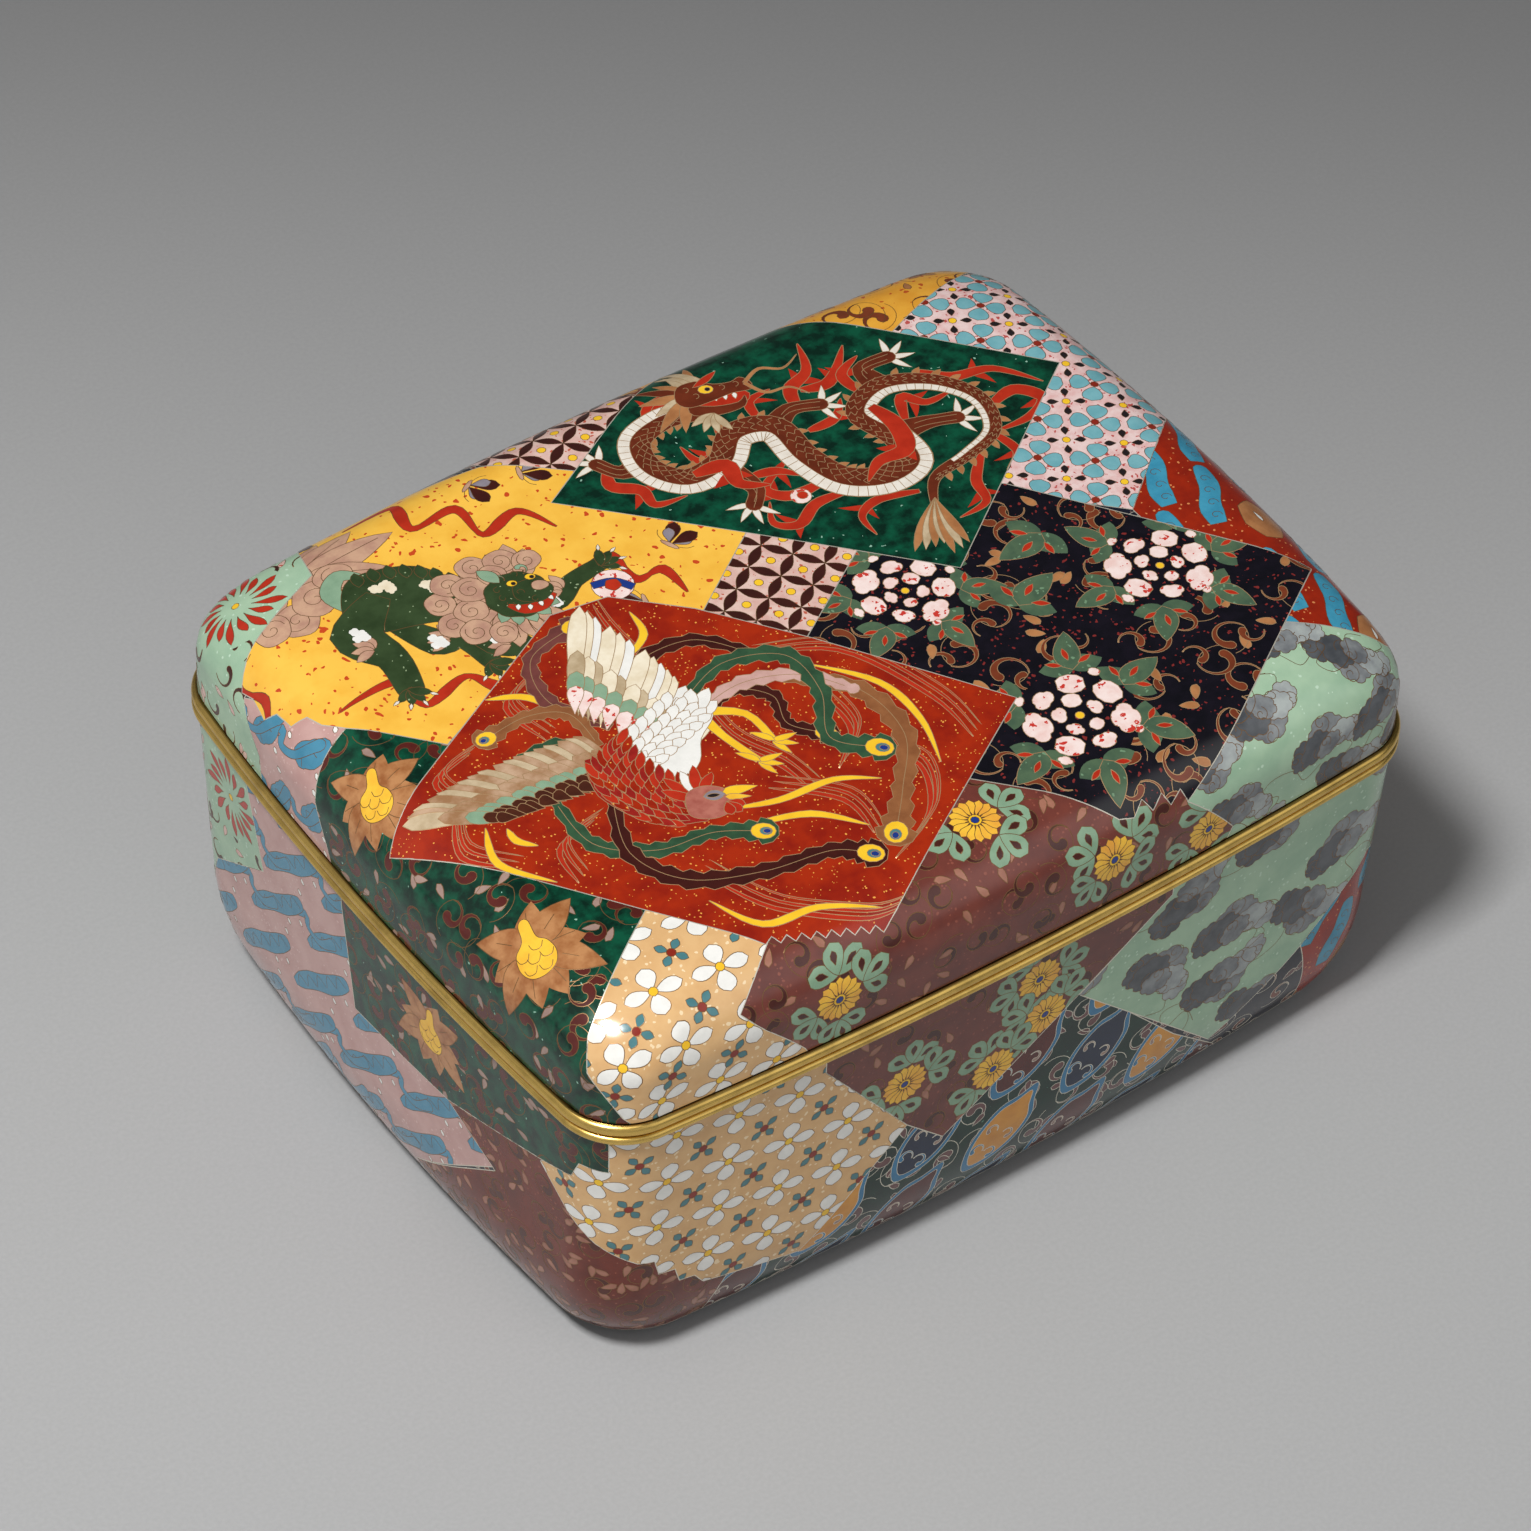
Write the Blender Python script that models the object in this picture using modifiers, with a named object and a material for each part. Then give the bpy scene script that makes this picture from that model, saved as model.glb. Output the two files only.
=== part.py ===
"""Lidded enamel box: two hollow enamelled copper shells, each closed by a brass rim.

Metres, +Z up. The origin is the middle of the flat underside, +X runs along the long side.
"""
import math

import bmesh
import bpy

# Plan of the box at its rims, the widest level
LENGTH = 0.2000
WIDTH = 0.1563
CORNER_RADIUS = 0.0144
# Each side bows outwards: how far it has turned between its middle and its corner
LONG_SIDE_TURN = math.radians(4.3)
SHORT_SIDE_TURN = math.radians(5.0)

# Shells: copper with enamel on both faces
WALL = 0.0024
SEAM_HEIGHT = 0.0693
BODY_TAPER = 0.0012
FOOT_ROUND_WIDTH = 0.0085
FOOT_ROUND_HEIGHT = 0.0253
# The corner radius grows with the distance that the wall has drawn in from the rim
BODY_CORNER_GROWTH = 0.84
LID_SIDE_HEIGHT = 0.0124
LID_SHOULDER_RADIUS = 0.0142
LID_CORNER_GROWTH = 1.85
LID_CROWN = 0.0012

# Brass rims: half round outside, flush with the shells inside
RIM_PROUD = 0.0012
LID_RIM_HEIGHT = 0.0026
BODY_RIM_HEIGHT = 0.0020
# Locating flange, one piece with the body rim, standing up inside the lid
FLANGE_HEIGHT = 0.0040
FLANGE_THICKNESS = 0.0010
FLANGE_CLEARANCE = 0.0005
# Gap that touching pieces keep
CONTACT_GAP = 0.0003

# Facets
CORNER_STEPS = 8
LONG_SIDE_STEPS = 4
SHORT_SIDE_STEPS = 3
ROUND_STEPS = 6
CROWN_STEPS = 3
BEAD_STEPS = 6

QUARTER_TURN = math.pi / 2


def clear_scene():
    """Remove every object that the file opened with."""
    for old in list(bpy.data.objects):
        bpy.data.objects.remove(old)


def make_material(name, colour, roughness, metallic):
    """A Principled BSDF with plain values."""
    material = bpy.data.materials.new(name)
    material.use_nodes = True
    shader = material.node_tree.nodes["Principled BSDF"]
    shader.inputs["Base Color"].default_value = (*colour, 1.0)
    shader.inputs["Roughness"].default_value = roughness
    shader.inputs["Metallic"].default_value = metallic
    return material


def angle_steps(start, end, count):
    """The angles after start, up to and with end."""
    return [start + (end - start) * step / count for step in range(1, count + 1)]


def plan_ring(inset, radius):
    """Points round the plan, drawn in by inset, with bowed sides tangent to corners of radius.

    Every ring has the same number of points, so that any two of them can be joined.
    """
    half_length = LENGTH / 2 - inset
    half_width = WIDTH / 2 - inset
    sin_long, cos_long = math.sin(LONG_SIDE_TURN), math.cos(LONG_SIDE_TURN)
    sin_short, cos_short = math.sin(SHORT_SIDE_TURN), math.cos(SHORT_SIDE_TURN)
    # Both side arcs meet the corner arc's centre, which gives two linear equations
    # for how much larger each side's radius is than the corner's
    reach_x = half_length - radius
    reach_y = half_width - radius
    scale = sin_long * sin_short - (1 - cos_short) * (1 - cos_long)
    extra_long = (reach_x * sin_short - reach_y * (1 - cos_short)) / scale
    extra_short = (reach_y * sin_long - reach_x * (1 - cos_long)) / scale

    quadrant = [(half_length, 0.0)]
    for angle in angle_steps(0.0, SHORT_SIDE_TURN, SHORT_SIDE_STEPS):
        side_radius = extra_short + radius
        quadrant.append((half_length - side_radius * (1 - math.cos(angle)),
                         side_radius * math.sin(angle)))
    centre = (extra_long * sin_long, extra_short * sin_short)
    for angle in angle_steps(SHORT_SIDE_TURN, QUARTER_TURN - LONG_SIDE_TURN, CORNER_STEPS):
        quadrant.append((centre[0] + radius * math.cos(angle),
                         centre[1] + radius * math.sin(angle)))
    for angle in angle_steps(-LONG_SIDE_TURN, 0.0, LONG_SIDE_STEPS):
        side_radius = extra_long + radius
        quadrant.append((-side_radius * math.sin(angle),
                         half_width - side_radius * (1 - math.cos(angle))))

    left = [(-x, y) for x, y in reversed(quadrant[:-1])]
    upper = quadrant + left
    lower = [(x, -y) for x, y in reversed(upper[1:-1])]
    return upper + lower


def offset_ring(inset, height):
    """A level ring that is parallel to the rims' outline."""
    return [(x, y, height) for x, y in plan_ring(inset, CORNER_RADIUS - inset)]


def shell_ring(drawn_in, height, growth):
    """A level ring of a shell, drawn in from its edge, where its corners grow rounder."""
    radius = CORNER_RADIUS - RIM_PROUD + growth * drawn_in
    return [(x, y, height) for x, y in plan_ring(RIM_PROUD + drawn_in, radius)]


def join_rings(mesh, lower, upper):
    """One band of quads between two rings of vertices that run the same way."""
    count = len(lower)
    for index in range(count):
        after = (index + 1) % count
        mesh.faces.new((lower[index], lower[after], upper[after], upper[index]))


def add_object(name, mesh, material, collection):
    """Turn a bmesh into a smooth shaded object."""
    data = bpy.data.meshes.new(name)
    mesh.to_mesh(data)
    mesh.free()
    data.materials.append(material)
    data.shade_smooth()
    data.set_sharp_from_angle(angle=math.radians(50))
    piece = bpy.data.objects.new(name, data)
    collection.objects.link(piece)
    return piece


def shell_object(name, rings, material, collection):
    """A loft from the open edge, rings[0], to a closed face, thickened inwards.

    The rings climb, or for a body that hangs below its edge they sink, and the faces
    are turned to look outwards either way.
    """
    mesh = bmesh.new()
    loops = [[mesh.verts.new(point) for point in ring] for ring in rings]
    for outer, inner in zip(loops, loops[1:]):
        join_rings(mesh, outer, inner)
    mesh.faces.new(loops[-1])
    if rings[-1][0][2] < rings[0][0][2]:
        bmesh.ops.reverse_faces(mesh, faces=mesh.faces)
    shell = add_object(name, mesh, material, collection)
    wall = shell.modifiers.new("Wall", "SOLIDIFY")
    wall.thickness = WALL
    wall.offset = -1.0
    wall.use_even_offset = True
    return shell


def rim_object(name, section, material, collection):
    """A closed section of (inset, height) points, swept round the outline."""
    mesh = bmesh.new()
    loops = [[mesh.verts.new(point) for point in offset_ring(inset, height)]
             for inset, height in section]
    for index, loop in enumerate(loops):
        join_rings(mesh, loop, loops[(index + 1) % len(loops)])
    bmesh.ops.recalc_face_normals(mesh, faces=mesh.faces)
    return add_object(name, mesh, material, collection)


def bead(low, high):
    """The rounded outer side of a rim, from its lower edge to its upper edge."""
    middle = (low + high) / 2
    half = (high - low) / 2
    angles = [-QUARTER_TURN] + angle_steps(-QUARTER_TURN, QUARTER_TURN, BEAD_STEPS)
    return [(RIM_PROUD * (1 - math.cos(angle)), middle + half * math.sin(angle))
            for angle in angles]


def lid_rings(edge_height):
    """Level rings of the lid's outer face, from its edge up over the shoulder."""
    shoulder_height = SEAM_HEIGHT + LID_SIDE_HEIGHT
    rings = [shell_ring(0.0, edge_height, LID_CORNER_GROWTH)]
    for angle in [0.0] + angle_steps(0.0, QUARTER_TURN, ROUND_STEPS):
        drawn_in = LID_SHOULDER_RADIUS * (1 - math.cos(angle))
        height = shoulder_height + LID_SHOULDER_RADIUS * math.sin(angle)
        rings.append(shell_ring(drawn_in, height, LID_CORNER_GROWTH))
    top_edge = rings[-1]
    for step in range(1, CROWN_STEPS + 1):
        shrink = 1 - step / (CROWN_STEPS + 1)
        rise = LID_CROWN * (1 - shrink ** 2)
        rings.append([(x * shrink, y * shrink, z + rise) for x, y, z in top_edge])
    return rings


def body_rings(edge_height):
    """Level rings of the body's outer face, from its edge down to the flat underside."""
    rings = [shell_ring(0.0, edge_height, BODY_CORNER_GROWTH)]
    for angle in [0.0] + angle_steps(0.0, QUARTER_TURN, ROUND_STEPS):
        drawn_in = BODY_TAPER + FOOT_ROUND_WIDTH * (1 - math.cos(angle))
        height = FOOT_ROUND_HEIGHT * (1 - math.sin(angle))
        rings.append(shell_ring(drawn_in, height, BODY_CORNER_GROWTH))
    return rings


def build():
    """Make the four pieces of the closed box."""
    clear_scene()
    collection = bpy.data.collections.new("enamel_box")
    bpy.context.scene.collection.children.link(collection)

    brass = make_material("brass", (0.45, 0.28, 0.08), 0.32, 1.0)
    lid_enamel = make_material("lid_enamel", (0.35, 0.05, 0.02), 0.12, 0.0)
    body_enamel = make_material("body_enamel", (0.42, 0.30, 0.18), 0.12, 0.0)

    inner_inset = RIM_PROUD + WALL
    lid_rim_low = SEAM_HEIGHT + CONTACT_GAP / 2
    lid_rim_high = lid_rim_low + LID_RIM_HEIGHT
    body_rim_high = SEAM_HEIGHT - CONTACT_GAP / 2
    body_rim_low = body_rim_high - BODY_RIM_HEIGHT

    shell_object("body_shell", body_rings(body_rim_low - CONTACT_GAP), body_enamel, collection)
    flange_outer = inner_inset + FLANGE_CLEARANCE
    flange_inner = flange_outer + FLANGE_THICKNESS
    flange_top = SEAM_HEIGHT + FLANGE_HEIGHT
    rim_object("body_rim",
               bead(body_rim_low, body_rim_high) + [(flange_outer, body_rim_high),
                                                    (flange_outer, flange_top),
                                                    (flange_inner, flange_top),
                                                    (flange_inner, body_rim_low)],
               brass, collection)
    rim_object("lid_rim",
               bead(lid_rim_low, lid_rim_high) + [(inner_inset, lid_rim_high),
                                                  (inner_inset, lid_rim_low)],
               brass, collection)
    shell_object("lid_shell", lid_rings(lid_rim_high + CONTACT_GAP), lid_enamel, collection)


build()
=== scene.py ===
"""Looks of the enamel box: patchwork enamel with fine wires, brass rims and a plain studio.

The design is drawn in millimetres on two flat charts, one for the lid and one for the body,
and every cell of enamel and every wire is then laid on the curved copper.
"""
import logging
import math
from dataclasses import dataclass, field
from enum import Enum
from typing import Callable, ClassVar, Iterable, Sequence

import bmesh
import bpy
import numpy as np
from bmesh.types import BMesh, BMVert
from bpy.types import Material, Mesh, Node, NodeSocket, NodeTree, Object
from mathutils import Matrix, Vector
from mathutils.geometry import delaunay_2d_cdt


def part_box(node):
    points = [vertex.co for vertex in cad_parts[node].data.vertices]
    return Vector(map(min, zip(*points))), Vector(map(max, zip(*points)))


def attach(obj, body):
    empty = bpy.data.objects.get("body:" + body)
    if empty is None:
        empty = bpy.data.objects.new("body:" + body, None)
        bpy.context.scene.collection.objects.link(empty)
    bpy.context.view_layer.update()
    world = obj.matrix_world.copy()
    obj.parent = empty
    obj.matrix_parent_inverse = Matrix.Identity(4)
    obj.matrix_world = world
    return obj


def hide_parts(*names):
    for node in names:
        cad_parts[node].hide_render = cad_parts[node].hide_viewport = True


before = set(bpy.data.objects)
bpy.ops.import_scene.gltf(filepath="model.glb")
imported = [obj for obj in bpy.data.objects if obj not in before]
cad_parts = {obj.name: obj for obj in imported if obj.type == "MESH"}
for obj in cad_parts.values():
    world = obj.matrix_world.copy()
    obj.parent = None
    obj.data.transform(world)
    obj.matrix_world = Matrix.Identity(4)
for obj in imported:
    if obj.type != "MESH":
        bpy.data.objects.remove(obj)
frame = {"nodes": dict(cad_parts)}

log = logging.getLogger("enamel_box")
logging.basicConfig(level=logging.INFO, format="%(name)s %(relativeCreated)d: %(message)s")

MM = 0.001
QUARTER = math.pi / 2
TURN = 2 * math.pi
# The shells' form, in millimetres, as the solids have it
PLAN_CORNER = 14.4
LONG_SIDE_TURN = math.radians(4.3)
SHORT_SIDE_TURN = math.radians(5.0)
SHOULDER_RADIUS = 14.2
LID_CORNER_GROWTH = 1.85
# A little less than the solids' crown, so that the wires stay under its top
CROWN = 1.05
BODY_TAPER = 1.2
FOOT_WIDTH = 8.5
FOOT_HEIGHT = 25.3
BODY_CORNER_GROWTH = 0.84
WALL = 2.4
RIM_PROUD = 1.2
RIM_GAP = 0.3
FLANGE_PLAY = 0.5
FLANGE_THICKNESS = 1.0
FLANGE_ROUND = 0.2
# Rounds of closing in on a value, enough for a millionth of a millimetre
HALVINGS = 24

# Depth of the enamel's face under the wires' tops, and of its back
ENAMEL_FACE = 0.03
COPPER_FACE = 0.22
WIRE_WIDTH = 0.24
BORDER_WIDTH = 0.34
WIRE_SINK = 0.05

# The UV map stays this far from its square's sides
MAP_MARGIN = 0.002
# The figures stand square to the picture, which is turned against the box
FIGURE_TURN = -37.25
# Soda-lead glass
GLASS_IOR = 1.53

Points = np.ndarray
# A place, a size or a range, and several of them
Row = Sequence[float]
Rows = Sequence[Row]


def box_mm(node: str) -> tuple[Vector, Vector]:
    """A node's lowest and highest corners in millimetres.

    Args:
        node: The CAD node's name.

    Returns:
        The two corners.
    """
    low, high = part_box(node)
    return Vector(low) / MM, Vector(high) / MM


@dataclass
class Ring:
    """A level ring of the box: four bowed sides that run into round corners.

    Its sizes are single numbers, or arrays with a value for each point that is looked up.

    Args:
        half_x: Half its length, at the middle of the short sides.
        half_y: Half its width, at the middle of the long sides.
        corner: The corner arc's radius.
    """

    half_x: Points
    half_y: Points
    corner: Points

    def __post_init__(self) -> None:
        """Work out how the side arcs meet the corner arc, and the parts' lengths."""
        sin_l, cos_l = math.sin(LONG_SIDE_TURN), math.cos(LONG_SIDE_TURN)
        sin_s, cos_s = math.sin(SHORT_SIDE_TURN), math.cos(SHORT_SIDE_TURN)
        reach_x, reach_y = self.half_x - self.corner, self.half_y - self.corner
        scale = sin_l * sin_s - (1 - cos_s) * (1 - cos_l)
        extra_l = (reach_x * sin_s - reach_y * (1 - cos_s)) / scale
        extra_s = (reach_y * sin_l - reach_x * (1 - cos_l)) / scale
        self.centre_x, self.centre_y = extra_l * sin_l, extra_s * sin_s
        self.side_s, self.side_l = extra_s + self.corner, extra_l + self.corner
        self.first = self.side_s * SHORT_SIDE_TURN
        self.second = self.corner * (QUARTER - LONG_SIDE_TURN - SHORT_SIDE_TURN)
        self.third = self.side_l * LONG_SIDE_TURN

    def shares(self, side: int, round_steps: int) -> Points:
        """Spread places along a quarter of the ring, closer in its corner.

        Args:
            side: Steps along each straighter part.
            round_steps: Steps round the corner.

        Returns:
            Shares from 0 to 1.
        """
        bend, end = self.first + self.second, self.first + self.second + self.third
        return np.concatenate([
            np.linspace(0, self.first, side, endpoint=False),
            np.linspace(self.first, bend, round_steps, endpoint=False),
            np.linspace(bend, end, side + 1)]) / end

    def point(self, share: Points) -> tuple[Points, Points]:
        """Points of the ring in the quarter where x and y are positive.

        Args:
            share: 0 on the X axis, 1 on the Y axis, by length along the ring.

        Returns:
            The points' x and y.
        """
        run = share * (self.first + self.second + self.third)
        turn_s = run / self.side_s
        turn_c = SHORT_SIDE_TURN + (run - self.first) / self.corner
        turn_l = QUARTER - LONG_SIDE_TURN + (run - self.first - self.second) / self.side_l
        parts = [run < self.first, run < self.first + self.second]
        x = np.select(parts, [self.half_x - self.side_s * (1 - np.cos(turn_s)),
                              self.centre_x + self.corner * np.cos(turn_c)],
                      self.side_l * np.cos(turn_l))
        y = np.select(parts, [self.side_s * np.sin(turn_s),
                              self.centre_y + self.corner * np.sin(turn_c)],
                      self.half_y - self.side_l * (1 - np.sin(turn_l)))
        return x, y

    def locate(self, x: Points, y: Points) -> tuple[Points, Points]:
        """Measure points against the ring.

        Args:
            x: The points' x, 0 or more.
            y: The points' y, 0 or more.

        Returns:
            The distance outside the ring, negative inside, and the share along it.
        """
        from_s, from_l = x - (self.half_x - self.side_s), y - (self.half_y - self.side_l)
        from_x, from_y = x - self.centre_x, y - self.centre_y
        turn_s, turn_l = np.arctan2(y, from_s), np.arctan2(from_l, x)
        off_s, off_l = np.hypot(from_s, y) - self.side_s, np.hypot(x, from_l) - self.side_l
        near_s, near_l = turn_s < SHORT_SIDE_TURN, turn_l > QUARTER - LONG_SIDE_TURN
        use_s = near_s & (~near_l | (off_s > off_l))
        parts = [use_s, near_l & ~use_s]
        off = np.select(parts, [off_s, off_l], np.hypot(from_x, from_y) - self.corner)
        run = np.select(
            parts,
            [turn_s * self.side_s,
             self.first + self.second + (turn_l - QUARTER + LONG_SIDE_TURN) * self.side_l],
            self.first + (np.arctan2(from_y, from_x) - SHORT_SIDE_TURN) * self.corner)
        return off, np.clip(run / (self.first + self.second + self.third), 0.0, 1.0)


def unit(vectors: Points) -> Points:
    """Rows of an array at length 1; the tiny addition keeps empty ones finite."""
    return vectors / (np.linalg.norm(vectors, axis=1, keepdims=True) + 1e-9)


def heading(line: Points) -> float:
    """The direction from a line's first point to its last, in degrees."""
    ahead = line[-1] - line[0]
    return math.degrees(math.atan2(ahead[1], ahead[0]))


def whole_ring(ring: Ring, share: Points) -> Points:
    """All four quarters of a ring of single sizes, without the doubled points.

    Args:
        ring: The ring.
        share: Shares of a quarter, from 0 to 1.

    Returns:
        The points, once round.
    """
    quarter = np.stack(ring.point(share), -1)
    back = quarter[::-1]
    return np.concatenate([quarter[:-1], (back * [-1, 1])[:-1],
                           (quarter * [-1, -1])[:-1], (back * [1, -1])[:-1]])


def halve(low: Points, high: Points, outside: Callable[[Points], Points]) -> Points:
    """Close in on the value where a test turns from true to false.

    Args:
        low: Values where the test holds.
        high: Values where it does not.
        outside: The test.

    Returns:
        The turning values.
    """
    for _ in range(HALVINGS):
        middle = (low + high) / 2
        beyond = outside(middle)
        low = np.where(beyond, middle, low)
        high = np.where(beyond, high, middle)
    return (low + high) / 2


class Chart:
    """A flat drawing board in millimetres, and the curved surface that it is laid on."""

    FRAME_STEP = 3.0
    REACH = 0.05
    # How far a motif is shrunk or drawn out at most, squared
    STRETCH = 0.15, 4.0

    def surface(self, flat: Points) -> Points:
        """Points on the finished outer face, in millimetres."""
        raise NotImplementedError

    def extent(self) -> tuple[float, float, float, float]:
        """The board's lowest x and y, then its highest."""
        raise NotImplementedError

    def border(self) -> Points:
        """The board's closed outline."""
        raise NotImplementedError

    def creases(self) -> list[Points]:
        """Lines across the board along which the mesh is divided to follow the curve."""
        raise NotImplementedError

    def slopes(self, flat: Points) -> tuple[Points, Points, Points]:
        """The surface's points and how it runs along the board's x and y.

        Args:
            flat: Points of the board.

        Returns:
            Places, and the two tangents for each millimetre of the board.
        """
        step_x, step_y = np.array([self.REACH, 0.0]), np.array([0.0, self.REACH])
        along = (self.surface(flat + step_x) - self.surface(flat - step_x)) / (2 * self.REACH)
        across = (self.surface(flat + step_y) - self.surface(flat - step_y)) / (2 * self.REACH)
        return self.surface(flat), along, across

    def lay(self, flat: Points) -> tuple[Points, Points]:
        """Points of the surface with their outward normals.

        Args:
            flat: Points of the board.

        Returns:
            Places and unit normals.
        """
        place, along, across = self.slopes(flat)
        normal = np.cross(along, across)
        return place, normal / np.linalg.norm(normal, axis=1, keepdims=True)

    def prepare(self) -> None:
        """Work out on a grid how a drawing is stretched, so that motifs keep their shape."""
        low_x, low_y, high_x, high_y = self.extent()
        self.grid_low = np.array([low_x, low_y])
        count = (int((high_x - low_x) / self.FRAME_STEP) + 2,
                 int((high_y - low_y) / self.FRAME_STEP) + 2)
        grid = np.stack(np.meshgrid(np.arange(count[0]), np.arange(count[1]), indexing="ij"), -1)
        flat = self.grid_low + grid.reshape(-1, 2) * self.FRAME_STEP
        _, along, across = self.slopes(flat)
        metric = np.empty((len(flat), 2, 2))
        metric[:, 0, 0] = (along * along).sum(1)
        metric[:, 1, 1] = (across * across).sum(1)
        metric[:, 0, 1] = metric[:, 1, 0] = (along * across).sum(1)
        values, vectors = np.linalg.eigh(metric)
        values = np.clip(values, *self.STRETCH)
        roots = np.einsum("nij,nj,nkj->nik", vectors, values ** -0.5, vectors)
        self.frames = roots.reshape(*count, 2, 2)

    def unstretch(self, at: Row) -> Points:
        """The 2 by 2 matrix that keeps a small motif true in shape at a place of the board.

        Args:
            at: The place on the board.

        Returns:
            The matrix.
        """
        cell = np.round((np.asarray(at) - self.grid_low) / self.FRAME_STEP).astype(int)
        cell = np.clip(cell, 0, np.array(self.frames.shape[:2]) - 1)
        return self.frames[cell[0], cell[1]]


class LidChart(Chart):
    """The lid seen from above, with its shoulder and side rolled out flat around the top."""

    SIDE_STEPS = 5
    CORNER_STEPS = 15
    SHOULDER_RINGS = 8
    CROWN_PITCH = 8.0
    CROWN_STROKE = 0.5
    # The solids' crown rises by this much, up to a last ring that is a quarter of the top's size
    SOLID_CROWN = 1.2 * (1 - 0.25 ** 2)
    # Longer than any run that is looked up
    FAR_RUN = 60.0

    def __init__(self) -> None:
        """Take the lid's sizes from its node."""
        low, high = box_mm("lid_shell")
        self.half_x, self.half_y = high.x, high.y
        self.edge = low.z
        self.corner = PLAN_CORNER - (box_mm("lid_rim")[1].x - high.x)
        self.top = high.z - self.SOLID_CROWN
        self.shoulder_foot = self.top - SHOULDER_RADIUS
        self.shoulder_run = SHOULDER_RADIUS * QUARTER
        self.run = self.shoulder_run + self.shoulder_foot - self.edge
        self.prepare()

    def profile(self, run: Points) -> tuple[Points, Points]:
        """Follow the lid's profile outwards from the flat top.

        Args:
            run: Length along the profile.

        Returns:
            How far the point is drawn in from the side, and its height.
        """
        turn = np.clip(run / SHOULDER_RADIUS, 0.0, QUARTER)
        drawn_in = SHOULDER_RADIUS * (1 - np.sin(turn))
        drop = np.maximum(run - self.shoulder_run, 0.0)
        return drawn_in, self.shoulder_foot + SHOULDER_RADIUS * np.cos(turn) - drop

    def ring(self, run: Points) -> Ring:
        """The board's ring at a run.

        Args:
            run: Runs on the board.

        Returns:
            The ring, with sizes for each run.
        """
        drawn_in, _ = self.profile(run)
        return Ring(self.half_x - SHOULDER_RADIUS + run, self.half_y - SHOULDER_RADIUS + run,
                    self.corner + LID_CORNER_GROWTH * drawn_in)

    def surface(self, flat: Points) -> Points:
        """Points on the lid's outer face.

        Args:
            flat: Points of the board.

        Returns:
            Places in millimetres.
        """
        x, y = np.abs(flat[:, 0]), np.abs(flat[:, 1])
        none = np.zeros_like(x)
        run = halve(none, none + self.FAR_RUN, lambda value: self.ring(value).locate(x, y)[0] > 0)
        _, share = self.ring(run).locate(x, y)
        drawn_in, height = self.profile(run)
        side_x, side_y = Ring(self.half_x - drawn_in, self.half_y - drawn_in,
                              self.corner + LID_CORNER_GROWTH * drawn_in).point(share)
        top_ring = self.ring(none)
        on_top = top_ring.locate(x, y)[0] <= 0
        reach = halve(none + 1e-4, none + 1.0,
                      lambda value: top_ring.locate(x / value, y / value)[0] > 0)
        return np.stack([np.sign(flat[:, 0]) * np.where(on_top, x, side_x),
                         np.sign(flat[:, 1]) * np.where(on_top, y, side_y),
                         np.where(on_top, self.top + CROWN * (1 - reach ** 2), height)], -1)

    def loop(self, run: float) -> Points:
        """A closed ring of the board at a run from the flat top."""
        ring = self.ring(np.float64(run))
        return whole_ring(ring, ring.shares(self.SIDE_STEPS, self.CORNER_STEPS))

    def extent(self) -> tuple[float, float, float, float]:
        """The board's lowest x and y, then its highest."""
        ring = self.ring(np.float64(self.run))
        return -ring.half_x, -ring.half_y, ring.half_x, ring.half_y

    def border(self) -> Points:
        """The board's outline, along the lid's rim."""
        return self.loop(self.run)

    def creases(self) -> list[Points]:
        """Rings on the shoulder, and a grid of short strokes on the crown.

        Returns:
            The lines on the board.
        """
        runs = [self.shoulder_run * step / self.SHOULDER_RINGS
                for step in range(self.SHOULDER_RINGS + 1)]
        runs.append((self.shoulder_run + self.run) / 2)
        rings = [np.concatenate([loop, loop[:1]]) for loop in map(self.loop, runs)]
        # The grid covers 160 by 112 mm, the largest multiple of its pitch on the flat top
        return rings + [np.array([[x, y], [x + self.CROWN_STROKE, y]])
                        for x in np.arange(-80.0, 81.0, self.CROWN_PITCH)
                        for y in np.arange(-56.0, 57.0, self.CROWN_PITCH)]


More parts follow.
